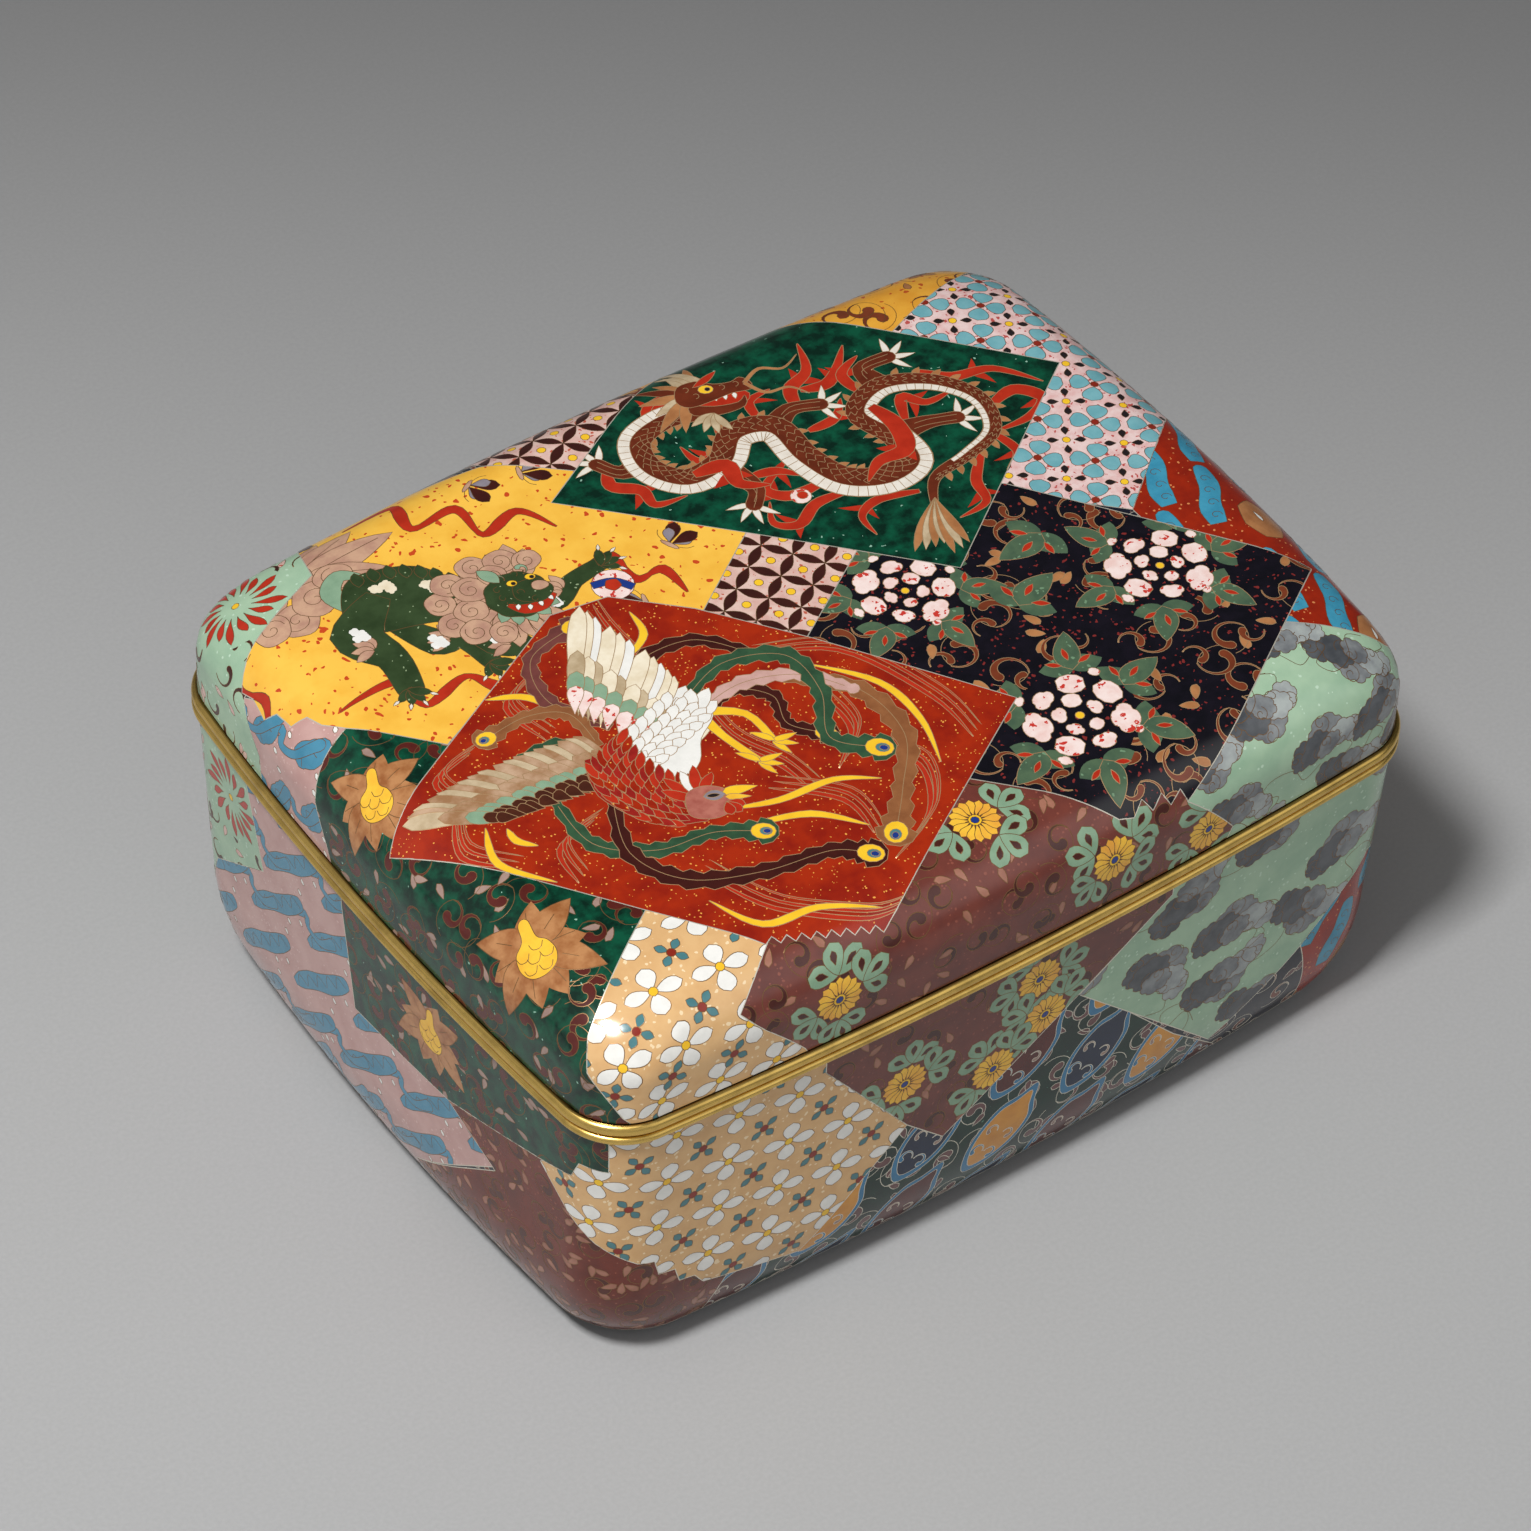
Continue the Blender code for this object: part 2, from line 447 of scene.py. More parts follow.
class BodyChart(Chart):
    """The body's wall unrolled: x runs round it from the near corner, y is 0 at the rim."""

    CORNER_STEP = 2.3
    SIDE_STEP = 11.0
    FOOT_LEVELS = 8
    WALL_LEVELS = 3
    PROFILE_STEPS = 200
    # Share of a corner's length on either side of its middle that has the closer lines
    CORNER_REACH = 0.8

    def __init__(self) -> None:
        """Take the body's sizes from its node and tabulate its profile."""
        low, high = box_mm("body_shell")
        self.half_x, self.half_y, self.edge = high.x, high.y, high.z
        self.corner = PLAN_CORNER - (box_mm("body_rim")[1].x - high.x)
        turn = np.linspace(0.0, QUARTER, self.PROFILE_STEPS)
        self.drawn_in = np.concatenate([[0.0], BODY_TAPER + FOOT_WIDTH * (1 - np.cos(turn))])
        self.height = np.concatenate([[self.edge], FOOT_HEIGHT * (1 - np.sin(turn))])
        steps = np.hypot(np.diff(self.drawn_in), np.diff(self.height))
        self.down = np.concatenate([[0.0], np.cumsum(steps)])
        self.depth = float(self.down[-1])
        self.ring = Ring(self.half_x, self.half_y, self.corner)
        self.quarter = self.ring.first + self.ring.second + self.ring.third
        self.short_leg = self.ring.first + self.ring.second / 2
        self.long_leg = self.quarter - self.short_leg
        self.prepare()

    def surface(self, flat: Points) -> Points:
        """Points on the body's outer face.

        Args:
            flat: Points of the board.

        Returns:
            Places in millimetres.
        """
        down = np.clip(-flat[:, 1], 0.0, self.depth)
        drawn_in = np.interp(down, self.down, self.drawn_in)
        height = np.interp(down, self.down, self.height) + flat[:, 1] + down
        run = np.mod(flat[:, 0] + self.short_leg, 4 * self.quarter) / self.quarter
        side = np.floor(run).astype(int) % 4
        share = run - np.floor(run)
        share = np.where(side % 2 == 0, share, 1 - share)
        x, y = Ring(self.half_x - drawn_in, self.half_y - drawn_in,
                    self.corner + BODY_CORNER_GROWTH * drawn_in).point(share)
        sign_x = np.where((side == 0) | (side == 3), -1.0, 1.0)
        sign_y = np.where(side < 2, -1.0, 1.0)
        return np.stack([sign_x * x, sign_y * y, height], -1)

    def extent(self) -> tuple[float, float, float, float]:
        """The board's lowest x and y, then its highest."""
        return -2 * self.quarter, -self.depth, 2 * self.quarter, 0.0

    def border(self) -> Points:
        """The board's outline."""
        low_x, low_y, high_x, high_y = self.extent()
        return np.array([[low_x, low_y], [high_x, low_y], [high_x, high_y], [low_x, high_y]])

    def creases(self) -> list[Points]:
        """Upright lines, closer at the corners, and level lines round the foot.

        Returns:
            The lines on the board.
        """
        low_x, low_y, high_x, high_y = self.extent()
        corners = [0.0, 2 * self.long_leg, 2 * self.quarter, -2 * self.short_leg,
                   -2 * self.quarter]
        uprights = np.arange(low_x, high_x, self.SIDE_STEP).tolist()
        reach = self.ring.second * self.CORNER_REACH
        for corner in corners:
            uprights += np.arange(corner - reach, corner + reach, self.CORNER_STEP).tolist()
        wall = self.down[1]
        levels = [-wall * step / self.WALL_LEVELS for step in range(1, self.WALL_LEVELS + 1)]
        levels += [-(wall + (self.depth - wall) * step / self.FOOT_LEVELS)
                   for step in range(1, self.FOOT_LEVELS)]
        lines = [np.array([[x, low_y], [x, high_y]]) for x in uprights if low_x < x < high_x]
        return lines + [np.array([[low_x, y], [high_x, y]]) for y in levels]


class Metal(Enum):
    """What a patch's wires are made of."""

    SILVER = "silver_wire"
    GILT = "gilt_wire"
    BRASS = "brass_wire"


def linear(colour: str) -> tuple[float, float, float, float]:
    """Turn an sRGB hex colour to linear light.

    Args:
        colour: Six hex digits after a hash sign.

    Returns:
        Red, green, blue and a full alpha.
    """
    parts = [int(colour[place:place + 2], 16) / 255 for place in (1, 3, 5)]
    light = [part / 12.92 if part <= 0.04045 else ((part + 0.055) / 1.055) ** 2.4
             for part in parts]
    return light[0], light[1], light[2], 1.0


def set_inputs(tree: NodeTree, node: Node, inputs: dict) -> None:
    """Link sockets to a node's inputs and set plain values on them.

    Args:
        tree: The node tree.
        node: The node.
        inputs: A socket or a plain value for each input.
    """
    for key, value in inputs.items():
        if isinstance(value, NodeSocket):
            tree.links.new(value, node.inputs[key])
        else:
            node.inputs[key].default_value = value


def add_node(tree: NodeTree, kind: str, inputs: dict | None = None,
             **settings: object) -> Node:
    """Add a shader node.

    Args:
        tree: The material's node tree.
        kind: The node's type.
        inputs: Values or sockets by the input's name or number.
        settings: The node's own properties.

    Returns:
        The node.
    """
    node = tree.nodes.new(kind)
    for name, value in settings.items():
        setattr(node, name, value)
    set_inputs(tree, node, inputs or {})
    return node


def calculate(tree: NodeTree, operation: str, *values: object) -> NodeSocket:
    """Add a node that works out numbers."""
    return add_node(tree, "ShaderNodeMath", dict(enumerate(values)), operation=operation).outputs[0]


def spread(tree: NodeTree, value: NodeSocket, start: Row,
           to: Row = (0.0, 1.0), **settings: object) -> NodeSocket:
    """Add a node that spreads a value from one range to another.

    Args:
        tree: The node tree.
        value: The value.
        start: The first range's ends.
        to: The second range's ends.
        settings: Further settings of the node.

    Returns:
        The spread value's socket.
    """
    ends = {"Value": value, "From Min": start[0], "From Max": start[1],
            "To Min": to[0], "To Max": to[1]}
    return add_node(tree, "ShaderNodeMapRange", ends, **settings).outputs[0]


def noise(tree: NodeTree, place: NodeSocket, pitch: float, detail: float,
          roughness: float = 0.5) -> Node:
    """Add noise of a pitch in millimetres."""
    return add_node(tree, "ShaderNodeTexNoise", {
        "Vector": place, "Scale": 1000 / pitch, "Detail": detail, "Roughness": roughness})


def towards(tree: NodeTree, place: NodeSocket, way: Row,
            start: Row, to: Row) -> NodeSocket:
    """Add a value that changes softly along a direction.

    Args:
        tree: The node tree.
        place: The place that is measured.
        way: The direction.
        start: How far along it the change begins and ends.
        to: The values there.

    Returns:
        The value's socket.
    """
    along = add_node(tree, "ShaderNodeVectorMath", {0: place, 1: way}, operation="DOT_PRODUCT")
    return spread(tree, along.outputs["Value"], start, to, interpolation_type="SMOOTHSTEP")


def new_material(name: str) -> tuple[Material, NodeTree, Node]:
    """A fresh node material, its tree and its shader.

    Args:
        name: The material's name.

    Returns:
        The material, its tree and its shader.
    """
    material = bpy.data.materials.new(name)
    material.use_nodes = True
    tree = material.node_tree
    return material, tree, tree.nodes["Principled BSDF"]


def blend_colours(tree: NodeTree, share: object, first: object,
                  second: object) -> NodeSocket:
    """Mix two colours.

    Args:
        tree: The material's node tree.
        share: The second colour's share, a number or a socket.
        first: Hex colour or socket.
        second: Hex colour or socket.

    Returns:
        The mixed colour's socket.
    """
    first, second = (linear(part) if isinstance(part, str) else part for part in (first, second))
    mix = add_node(tree, "ShaderNodeMix", data_type="RGBA", inputs={0: share, 6: first, 7: second})
    return mix.outputs[2]


@dataclass(frozen=True)
class Enamel:
    """One batch of ground glass, fired in the cells and polished flat.

    The eye sees a clear glassy gloss over a colour that wanders a little, with grains of
    other glass in it. Sizes are in millimetres.
    """

    name: str
    colour: str
    second: str
    wander: float
    strength: float
    grain: str = ""
    grain_pitch: float = 1.0
    grain_share: float = 0.3
    grain_size: float = 0.3
    roughness: float = 0.13

    def material(self) -> Material:
        """Build the glass's material.

        Returns:
            The material.
        """
        material, tree, shader = new_material("enamel_" + self.name)
        place = add_node(tree, "ShaderNodeTexCoord").outputs["Object"]
        cloud = noise(tree, place, self.wander, 3.0, 0.6)
        share = spread(tree, cloud.outputs["Fac"], (0.38, 0.66), (0.0, self.strength))
        colour = blend_colours(tree, share, self.colour, self.second)
        if self.grain:
            colour = self.add_grain(tree, place, cloud, colour)
        polish = spread(tree, cloud.outputs["Fac"], (0.3, 0.7),
                        (self.roughness - 0.03, self.roughness + 0.05))
        set_inputs(tree, shader, {"Base Color": colour, "Roughness": polish, "IOR": GLASS_IOR})
        return material

    def add_grain(self, tree: NodeTree, place: NodeSocket,
                  cloud: Node, colour: NodeSocket) -> NodeSocket:
        """Strew grains of the other glass, uneven in size and a little out of round.

        Args:
            tree: The material's node tree.
            place: The place on the piece.
            cloud: The noise that bends the grains.
            colour: The glass round them.

        Returns:
            The colour with its grains.
        """
        bent = add_node(tree, "ShaderNodeVectorMath", {
            0: cloud.outputs["Color"], 1: (3.0 * self.grain_pitch * MM,) * 3, 2: place},
            operation="MULTIPLY_ADD")
        cells = add_node(tree, "ShaderNodeTexVoronoi", {
            "Vector": bent.outputs[0], "Scale": 1000 / self.grain_pitch})
        chosen = add_node(tree, "ShaderNodeSeparateColor", {"Color": cells.outputs["Color"]})
        reach = calculate(tree, "MULTIPLY_ADD", chosen.outputs[1], self.grain_size,
                          self.grain_size * 0.55)
        near = calculate(tree, "LESS_THAN", cells.outputs["Distance"], reach)
        few = calculate(tree, "LESS_THAN", chosen.outputs[0], self.grain_share)
        return blend_colours(tree, calculate(tree, "MULTIPLY", near, few), colour, self.grain)


# Name, two colours, size and strength of the clouds, then the grains if there are any
ENAMELS = {row[0]: Enamel(*row) for row in (
    ("tan", "#deb47e", "#cfa06a", 5.0, 0.6, "#f0d6ac", 1.1, 0.3, 0.28),
    ("white", "#eeece6", "#d9d8d2", 3.0, 0.5),
    ("teal", "#4f8085", "#3c6b72", 3.0, 0.5),
    ("madder", "#8e2a1c", "#74200f", 3.0, 0.5),
    ("yellow", "#f4c62f", "#e9ae22", 4.0, 0.5),
    ("chrysanthemum", "#f2bf3d", "#e29a3c", 5.0, 0.8),
    ("blue", "#1d3a86", "#16296b", 3.0, 0.4),
    ("cocoa", "#743b31", "#5d2f2a", 8.0, 0.8, "#8a4c3e", 0.8, 0.25, 0.26),
    ("cocoa_dark", "#4a211b", "#3c1a16", 4.0, 0.6),
    ("sage", "#8aa88b", "#76957a", 4.0, 0.7),
    ("vermilion", "#a52a0b", "#86180a", 7.0, 0.9, "#e8a349", 0.7, 0.36, 0.2, 0.12),
    ("cream", "#efe4cc", "#d8c6a4", 4.0, 0.7),
    ("feather", "#c9b595", "#a8916f", 4.0, 0.8),
    ("wing_brown", "#9c7350", "#c7a78a", 5.0, 0.9),
    ("scale_brown", "#4d2517", "#3a1a12", 3.0, 0.6),
    ("tail_green", "#35573c", "#27422f", 4.0, 0.8),
    ("tail_maroon", "#431914", "#321210", 4.0, 0.7),
    ("tail_mauve", "#74403b", "#5b302d", 4.0, 0.7),
    ("tail_pink", "#cfa79e", "#b98f84", 4.0, 0.7),
    ("tail_tan", "#935f3a", "#7b4a2b", 4.0, 0.7),
    ("crimson", "#a0241d", "#7f1714", 3.0, 0.7),
    ("cheek", "#b56f60", "#9a4f44", 3.0, 0.8),
    ("flame", "#b9301a", "#9c2210", 4.0, 0.6),
    ("emerald", "#022419", "#075239", 3.6, 0.9, "#8fb8a4", 1.2, 0.1, 0.15, 0.12),
    ("dragon", "#6d2d18", "#54200f", 4.0, 0.7),
    ("belly", "#e9e2d6", "#cfc2b2", 3.0, 0.5),
    ("corn", "#f6c14c", "#ecb03c", 7.0, 0.8, "#c6481f", 1.9, 0.7, 0.21),
    ("lion", "#36492b", "#26371d", 5.0, 0.8, "#93a47e", 0.8, 0.16, 0.2),
    ("mane", "#c8a084", "#ae8270", 4.0, 0.9),
    ("lilac", "#8f8790", "#756d78", 3.0, 0.6),
    ("midnight", "#0b0a12", "#15111c", 4.0, 0.8, "#7c2a28", 1.2, 0.6, 0.22, 0.12),
    ("peony", "#f3dfd9", "#e6bdb4", 3.0, 0.7, "#c7392f", 2.1, 0.8, 0.27),
    ("leaf", "#52694f", "#3f5644", 4.0, 0.8, "#6f8f70", 1.0, 0.2, 0.26),
    ("scroll", "#7a3a22", "#5c2816", 4.0, 0.6),
    ("blush", "#dfc0b4", "#cfa096", 3.0, 0.8, "#bb5a46", 1.0, 0.32, 0.28),
    ("rose", "#e6ccc8", "#d9a8a4", 2.5, 0.9, "#b8504c", 1.0, 0.4, 0.3),
    ("lens", "#3f1b16", "#301411", 4.0, 0.6),
    ("turquoise", "#78b0b8", "#629fa9", 4.0, 0.7),
    ("coal", "#1f1a1c", "#2a2224", 3.0, 0.6),
    ("cinnabar", "#9a260c", "#7d1a0c", 6.0, 0.8, "#d3854f", 0.9, 0.28, 0.22),
    ("haze", "#4297b4", "#2f7f9e", 4.0, 0.7),
    ("buff", "#b57c4e", "#98623a", 4.0, 0.8),
    ("celadon", "#a7c4a6", "#92b397", 9.0, 0.8, "#bcd6be", 1.0, 0.2, 0.26),
    ("cloud_pale", "#a9b0ad", "#85898c", 5.0, 0.9),
    ("cloud_grey", "#8b8f90", "#63666a", 5.0, 1.0),
    ("cloud_dark", "#5a5d61", "#3f4246", 5.0, 0.9),
    ("lotus", "#b88254", "#93592f", 4.0, 1.0),
    ("bud", "#f4c23a", "#e3a42e", 4.0, 0.6),
    ("maroon", "#5a211b", "#431713", 4.0, 0.6),
    ("comma", "#a88c80", "#8a7067", 4.0, 0.7),
    ("pink", "#c8a29b", "#b98e88", 7.0, 0.8, "#d6b6af", 0.8, 0.25, 0.24),
    ("bar_blue", "#4c8ca8", "#3c7d99", 5.0, 0.7),
    ("brick", "#702c1c", "#581f12", 7.0, 0.8, "#96543f", 0.8, 0.25, 0.22),
    ("brick_dark", "#54241a", "#3c1812", 4.0, 0.6),
    ("brick_pale", "#a87460", "#8f5a48", 4.0, 0.7),
    ("pine", "#08241d", "#0b3a2c", 6.0, 0.7, "#5d8a76", 1.3, 0.08, 0.16, 0.12),
    ("ruyi_blue", "#3a7ba2", "#2d6a90", 4.0, 0.6),
    ("ruyi_gold", "#d8973d", "#c37f2f", 4.0, 0.7),
    ("ruyi_navy", "#1b2740", "#141d30", 4.0, 0.6),
    ("mauve", "#6f4b4a", "#5a3b3b", 4.0, 0.7),
    ("navy", "#171a28", "#12141f", 6.0, 0.8, "#5b4a48", 1.2, 0.2, 0.2, 0.12),
    ("amber", "#e3a63b", "#d8942e", 6.0, 0.8, "#b8541f", 1.3, 0.22, 0.26),
    ("plum", "#3b2a31", "#2c2026", 5.0, 0.7),
)}


def oval(length: float, width: float, centre: Row = (0.0, 0.0),
         count: int = 10) -> Points:
    """An oval outline."""
    turn = np.arange(count) * TURN / count
    return np.stack([length / 2 * np.cos(turn), width / 2 * np.sin(turn)], -1) + centre


def disc(size: float, count: int = 10) -> Points:
    """A round outline."""
    return oval(size, size, count=count)


def petal(length: float, width: float, start: float, belly: float, blunt: float = 1.0,
          bend: float = 0.0, count: int = 7) -> Points:
    """A leaf-shaped outline along x.

    Args:
        length: Where the tip lies.
        width: The greatest width.
        start: Where the foot lies.
        belly: Where along it the greatest width lies, from 0 to 1.
        blunt: Below 1 rounds the two ends.
        bend: How far the tip is carried sideways.
        count: Points on each side.

    Returns:
        The closed outline.
    """
    run = np.linspace(0.0, 1.0, count + 1)
    half = width / 2 * np.sin(math.pi * run ** (math.log(0.5) / math.log(belly))) ** blunt
    x, middle = start + (length - start) * run, bend * run ** 2
    upper = np.stack([x, middle + half], -1)
    lower = np.stack([x, middle - half], -1)
    return np.concatenate([lower, upper[-2:0:-1]])


def lobed(radius: float, lobes: int, depth: float, stretch: float = 1.0,
          steps: int = 5) -> Points:
    """A round outline with lobes.

    Args:
        radius: The lobes' reach.
        lobes: How many there are.
        depth: How deep the notches go, as a share of the radius.
        stretch: How much longer it is along x.
        steps: Points for each lobe.

    Returns:
        The closed outline.
    """
    turn = np.arange(lobes * steps) * TURN / (lobes * steps)
    reach = radius * (1 - depth + depth * np.sqrt(np.abs(np.cos(lobes * turn / 2))))
    return np.stack([stretch * reach * np.cos(turn), reach * np.sin(turn)], -1)


def smooth(points: Rows, closed: bool = False, steps: int = 4) -> Points:
    """A soft curve through points.

    Args:
        points: The points, two or more numbers each.
        closed: Whether the curve runs back to its start.
        steps: Pieces between two points.

    Returns:
        The curve's points.
    """
    given = np.asarray(points, float)
    if closed:
        padded = np.concatenate([given[-1:], given, given[:2]])
    else:
        padded = np.concatenate([given[:1], given, given[-1:]])
    share = (np.arange(steps) / steps)[:, None]
    curve = [0.5 * (2 * b + (c - a) * share + (2 * a - 5 * b + 4 * c - d) * share ** 2
                    + (3 * b - a - 3 * c + d) * share ** 3)
             for a, b, c, d in zip(padded, padded[1:], padded[2:], padded[3:])]
    return np.concatenate(curve if closed else curve + [given[-1:]])


def ribbon(middle: Points, widths: Row | Points, round_end: bool = False,
           teeth: float = 0.0) -> Points:
    """The outline of a band along a curve.

    Args:
        middle: The curve.
        widths: Its width at evenly spread places.
        round_end: Whether the far end is round.
        teeth: How deep the barbs are that its sides are cut to.

    Returns:
        The closed outline.
    """
    middle = np.asarray(middle, float)
    run = np.linspace(0.0, 1.0, len(middle))
    half = np.interp(run, np.linspace(0.0, 1.0, len(widths)), widths)[:, None] / 2
    if teeth:
        half = half * (1 - teeth * (np.arange(len(middle)) % 3)[:, None] / 2)
    tangent = unit(np.gradient(middle, axis=0))
    side = np.stack([-tangent[:, 1], tangent[:, 0]], -1)
    parts = [middle - side * half]
    if round_end:
        turn = np.linspace(-QUARTER, QUARTER, 6)[1:-1, None]
        parts.append(middle[-1] + half[-1] * (tangent[-1] * np.cos(turn) + side[-1] * np.sin(turn)))
    parts.append((middle + side * half)[::-1])
    return np.concatenate(parts)


def curl(size: float, sweep: float, close: float, count: int) -> Points:
    """A line that starts at the pen and curls inwards to the left.

    Args:
        size: The curl's first radius.
        sweep: How far it turns, in radians.
        close: Its last radius, as a share of the first.
        count: Its points.

    Returns:
        The line.
    """
    share = np.linspace(0.0, 1.0, count)
    reach = size * (1 - (1 - close) * share)
    turn = sweep * share
    return np.stack([reach * np.sin(turn), size - reach * np.cos(turn)], -1)


def hook(size: float, sweep: float, thick: float, thin: float = 0.08,
         close: float = 0.45, count: int = 12) -> Points:
    """A curl that swells from a thin stem to a thick round head, both as shares of its size.

    Args:
        size: The curl's size.
        sweep: How far it turns, in radians.
        thick: The head's width.
        thin: The stem's width.
        close: How much the curl closes.
        count: Points along it.

    Returns:
        The outline's points.
    """
    share = np.linspace(0.0, 1.0, 6)
    return ribbon(curl(size, sweep, close, count), size * (thin + (thick - thin) * share ** 1.6),
                  round_end=True)


def winding(outline: Points) -> float:
    """Twice the signed area of an outline."""
    after = np.roll(outline, -1, axis=0)
    return float((outline[:, 0] * after[:, 1] - outline[:, 1] * after[:, 0]).sum())


def divide(outline: Points, step: float) -> Points:
    """Add points to an outline so that no side is longer than a step.

    Args:
        outline: The outline's points.
        step: The longest side.

    Returns:
        The outline with the added points.
    """
    parts = []
    for start, end in zip(outline, np.roll(outline, -1, axis=0)):
        count = max(1, math.ceil(float(np.linalg.norm(end - start)) / step))
        parts.append(start + (end - start) * np.arange(count)[:, None] / count)
    return np.concatenate(parts)


def within(outline: Points, points: Points) -> Points:
    """Which points lie inside an outline.

    Args:
        outline: The outline's points.
        points: The points to look at.

    Returns:
        True for each point inside.
    """
    inside = np.zeros(len(points), bool)
    for (x0, y0), (x1, y1) in zip(outline, np.roll(outline, -1, axis=0)):
        crosses = (y0 > points[:, 1]) != (y1 > points[:, 1])
        rise = y1 - y0 if y1 != y0 else 1e-9
        inside ^= crosses & (points[:, 0] < (x1 - x0) * (points[:, 1] - y0) / rise + x0)
    return inside


class Drawing:
    """What is drawn on one patch: closed cells of enamel and open wires, later over earlier."""

    EDGE_STEP = 2.0

    def __init__(self, chart: Chart, outline: Rows, ground: str,
                 seed: int) -> None:
        """Start with bare ground.

        Args:
            chart: The board it is drawn on.
            outline: The patch's corners.
            ground: The ground's enamel.
            seed: Starts the patch's own random numbers.
        """
        self.chart = chart
        self.cells: list[tuple[Points, str, bool]] = []
        self.lines: list[tuple[Points, int]] = []
        self.random = np.random.default_rng(seed)
        self.add(chart.border(), ground)
        self.outline = np.asarray(outline, float)
        self.add(divide(self.outline, self.EDGE_STEP), ground)

    def add(self, outline: Points, enamel: str, wired: bool = True) -> None:
        """Lay a closed cell over what is there.

        Args:
            outline: The cell's outline on the board.
            enamel: Its enamel.
            wired: Whether a wire runs round it.
        """
        if winding(outline) < 0:
            outline = outline[::-1]
        self.cells.append((outline, enamel, wired))

    def add_line(self, points: Points) -> None:
        """Lay an open wire over what is there."""
        self.lines.append((points, len(self.cells) - 1))

    def pen(self, at: Row, turn: float = 0.0, size: float = 1.0,
            flip: bool = False) -> "Pen":
        """A pen at a place of the board, turned in degrees."""
        return Pen(self, np.asarray(at, float), self.chart.unstretch(at)).move(
            (0.0, 0.0), turn, size, flip)

    def lattice(self, pitch: Row, turn: float = 0.0, reach: float = 6.0,
                jitter: float = 0.0, skew: float = 0.0) -> list[tuple[Points, int, int]]:
        """Places of a lattice that lie on the patch or near its edge.

        Args:
            pitch: Distance along the rows and between them.
            turn: The rows' direction in degrees.
            reach: How far outside the patch a place may lie.
            jitter: How far a place is moved at random, as a share of the pitch.
            skew: How far each row is moved along, as a share of the pitch.

        Returns:
            Places with their column and row.
        """
        angle = math.radians(turn)
        axes = np.array([[math.cos(angle), math.sin(angle)], [-math.sin(angle), math.cos(angle)]])
        rim = divide(self.outline, reach)
        local = self.outline @ axes.T
        low = np.floor((local.min(0) - reach) / pitch).astype(int)
        high = np.ceil((local.max(0) + reach) / pitch).astype(int)
        found = []
        for row in range(low[1], high[1] + 1):
            for column in range(low[0] - abs(row), high[0] + abs(row) + 1):
                place = np.array([column + skew * row, row], float)
                place += jitter * (self.random.random(2) - 0.5) * 2
                place = (place * pitch) @ axes
                near = np.linalg.norm(rim - place, axis=1).min() < reach
                if near or within(self.outline, place[None])[0]:
                    found.append((place, column, row))
        return found


@dataclass
class Pen:
    """A small frame of its own, in which a motif is drawn in true millimetres."""

    drawing: Drawing
    at: Points
    frame: Points

    def board(self, points: Points) -> Points:
        """Turn the pen's own points to the board's."""
        return self.at + np.asarray(points, float) @ self.frame.T

    def move(self, at: Row = (0.0, 0.0), turn: float = 0.0, size: float = 1.0,
             flip: bool = False) -> "Pen":
        """A pen elsewhere in this pen's frame.

        Args:
            at: Its place.
            turn: Its turn in degrees.
            size: Its scale.
            flip: Whether it draws mirrored.

        Returns:
            The new pen.
        """
        angle = math.radians(turn)
        side = -1.0 if flip else 1.0
        local = size * np.array([[math.cos(angle), -side * math.sin(angle)],
                                 [math.sin(angle), side * math.cos(angle)]])
        return Pen(self.drawing, self.board(np.array([at]))[0], self.frame @ local)

    def cell(self, outline: Points, enamel: str, wired: bool = True) -> None:
        """Lay a closed cell."""
        self.drawing.add(self.board(outline), enamel, wired)

    def leaf(self, at: Row, turn: float, enamel: str, *shape: float) -> None:
        """Lay a leaf-shaped cell; its shape is what petal() takes."""
        self.move(at, turn).cell(petal(*shape), enamel)

    def fan(self, at: Row, turns: Iterable[float], outline: Points, enamel: str) -> None:
        """Lay the same cell in several directions."""
        for turn in turns:
            self.move(at, turn).cell(outline, enamel)

    def wire(self, points: Points) -> None:
        """Lay an open wire."""
        self.drawing.add_line(self.board(points))


@dataclass(frozen=True)
class Cloth:
    """The ground and the pattern of one kind of patch."""

    ground: str
    metal: Metal
    draw: Callable[[Drawing], None]


@dataclass
class Patch:
    """One patch of cloth on a board."""

    name: str
    cloth: Cloth
    outline: Rows
    seed: int
    extra: Callable[[Drawing], None] | None = None

    def drawn(self, chart: Chart) -> Drawing:
        """Draw the patch on its board.

        Args:
            chart: The shell's chart.

        Returns:
            The finished drawing.
        """
        drawing = Drawing(chart, self.outline, self.cloth.ground, self.seed)
        self.cloth.draw(drawing)
        if self.extra:
            self.extra(drawing)
        return drawing


@dataclass
class Cells:
    """A drawing cut into triangles, with the wires between its cells."""

    flat: Points
    triangles: list[tuple[int, int, int]] = field(default_factory=list)
    enamels: list[str] = field(default_factory=list)
    wires: list[list[int]] = field(default_factory=list)
    borders: list[list[int]] = field(default_factory=list)


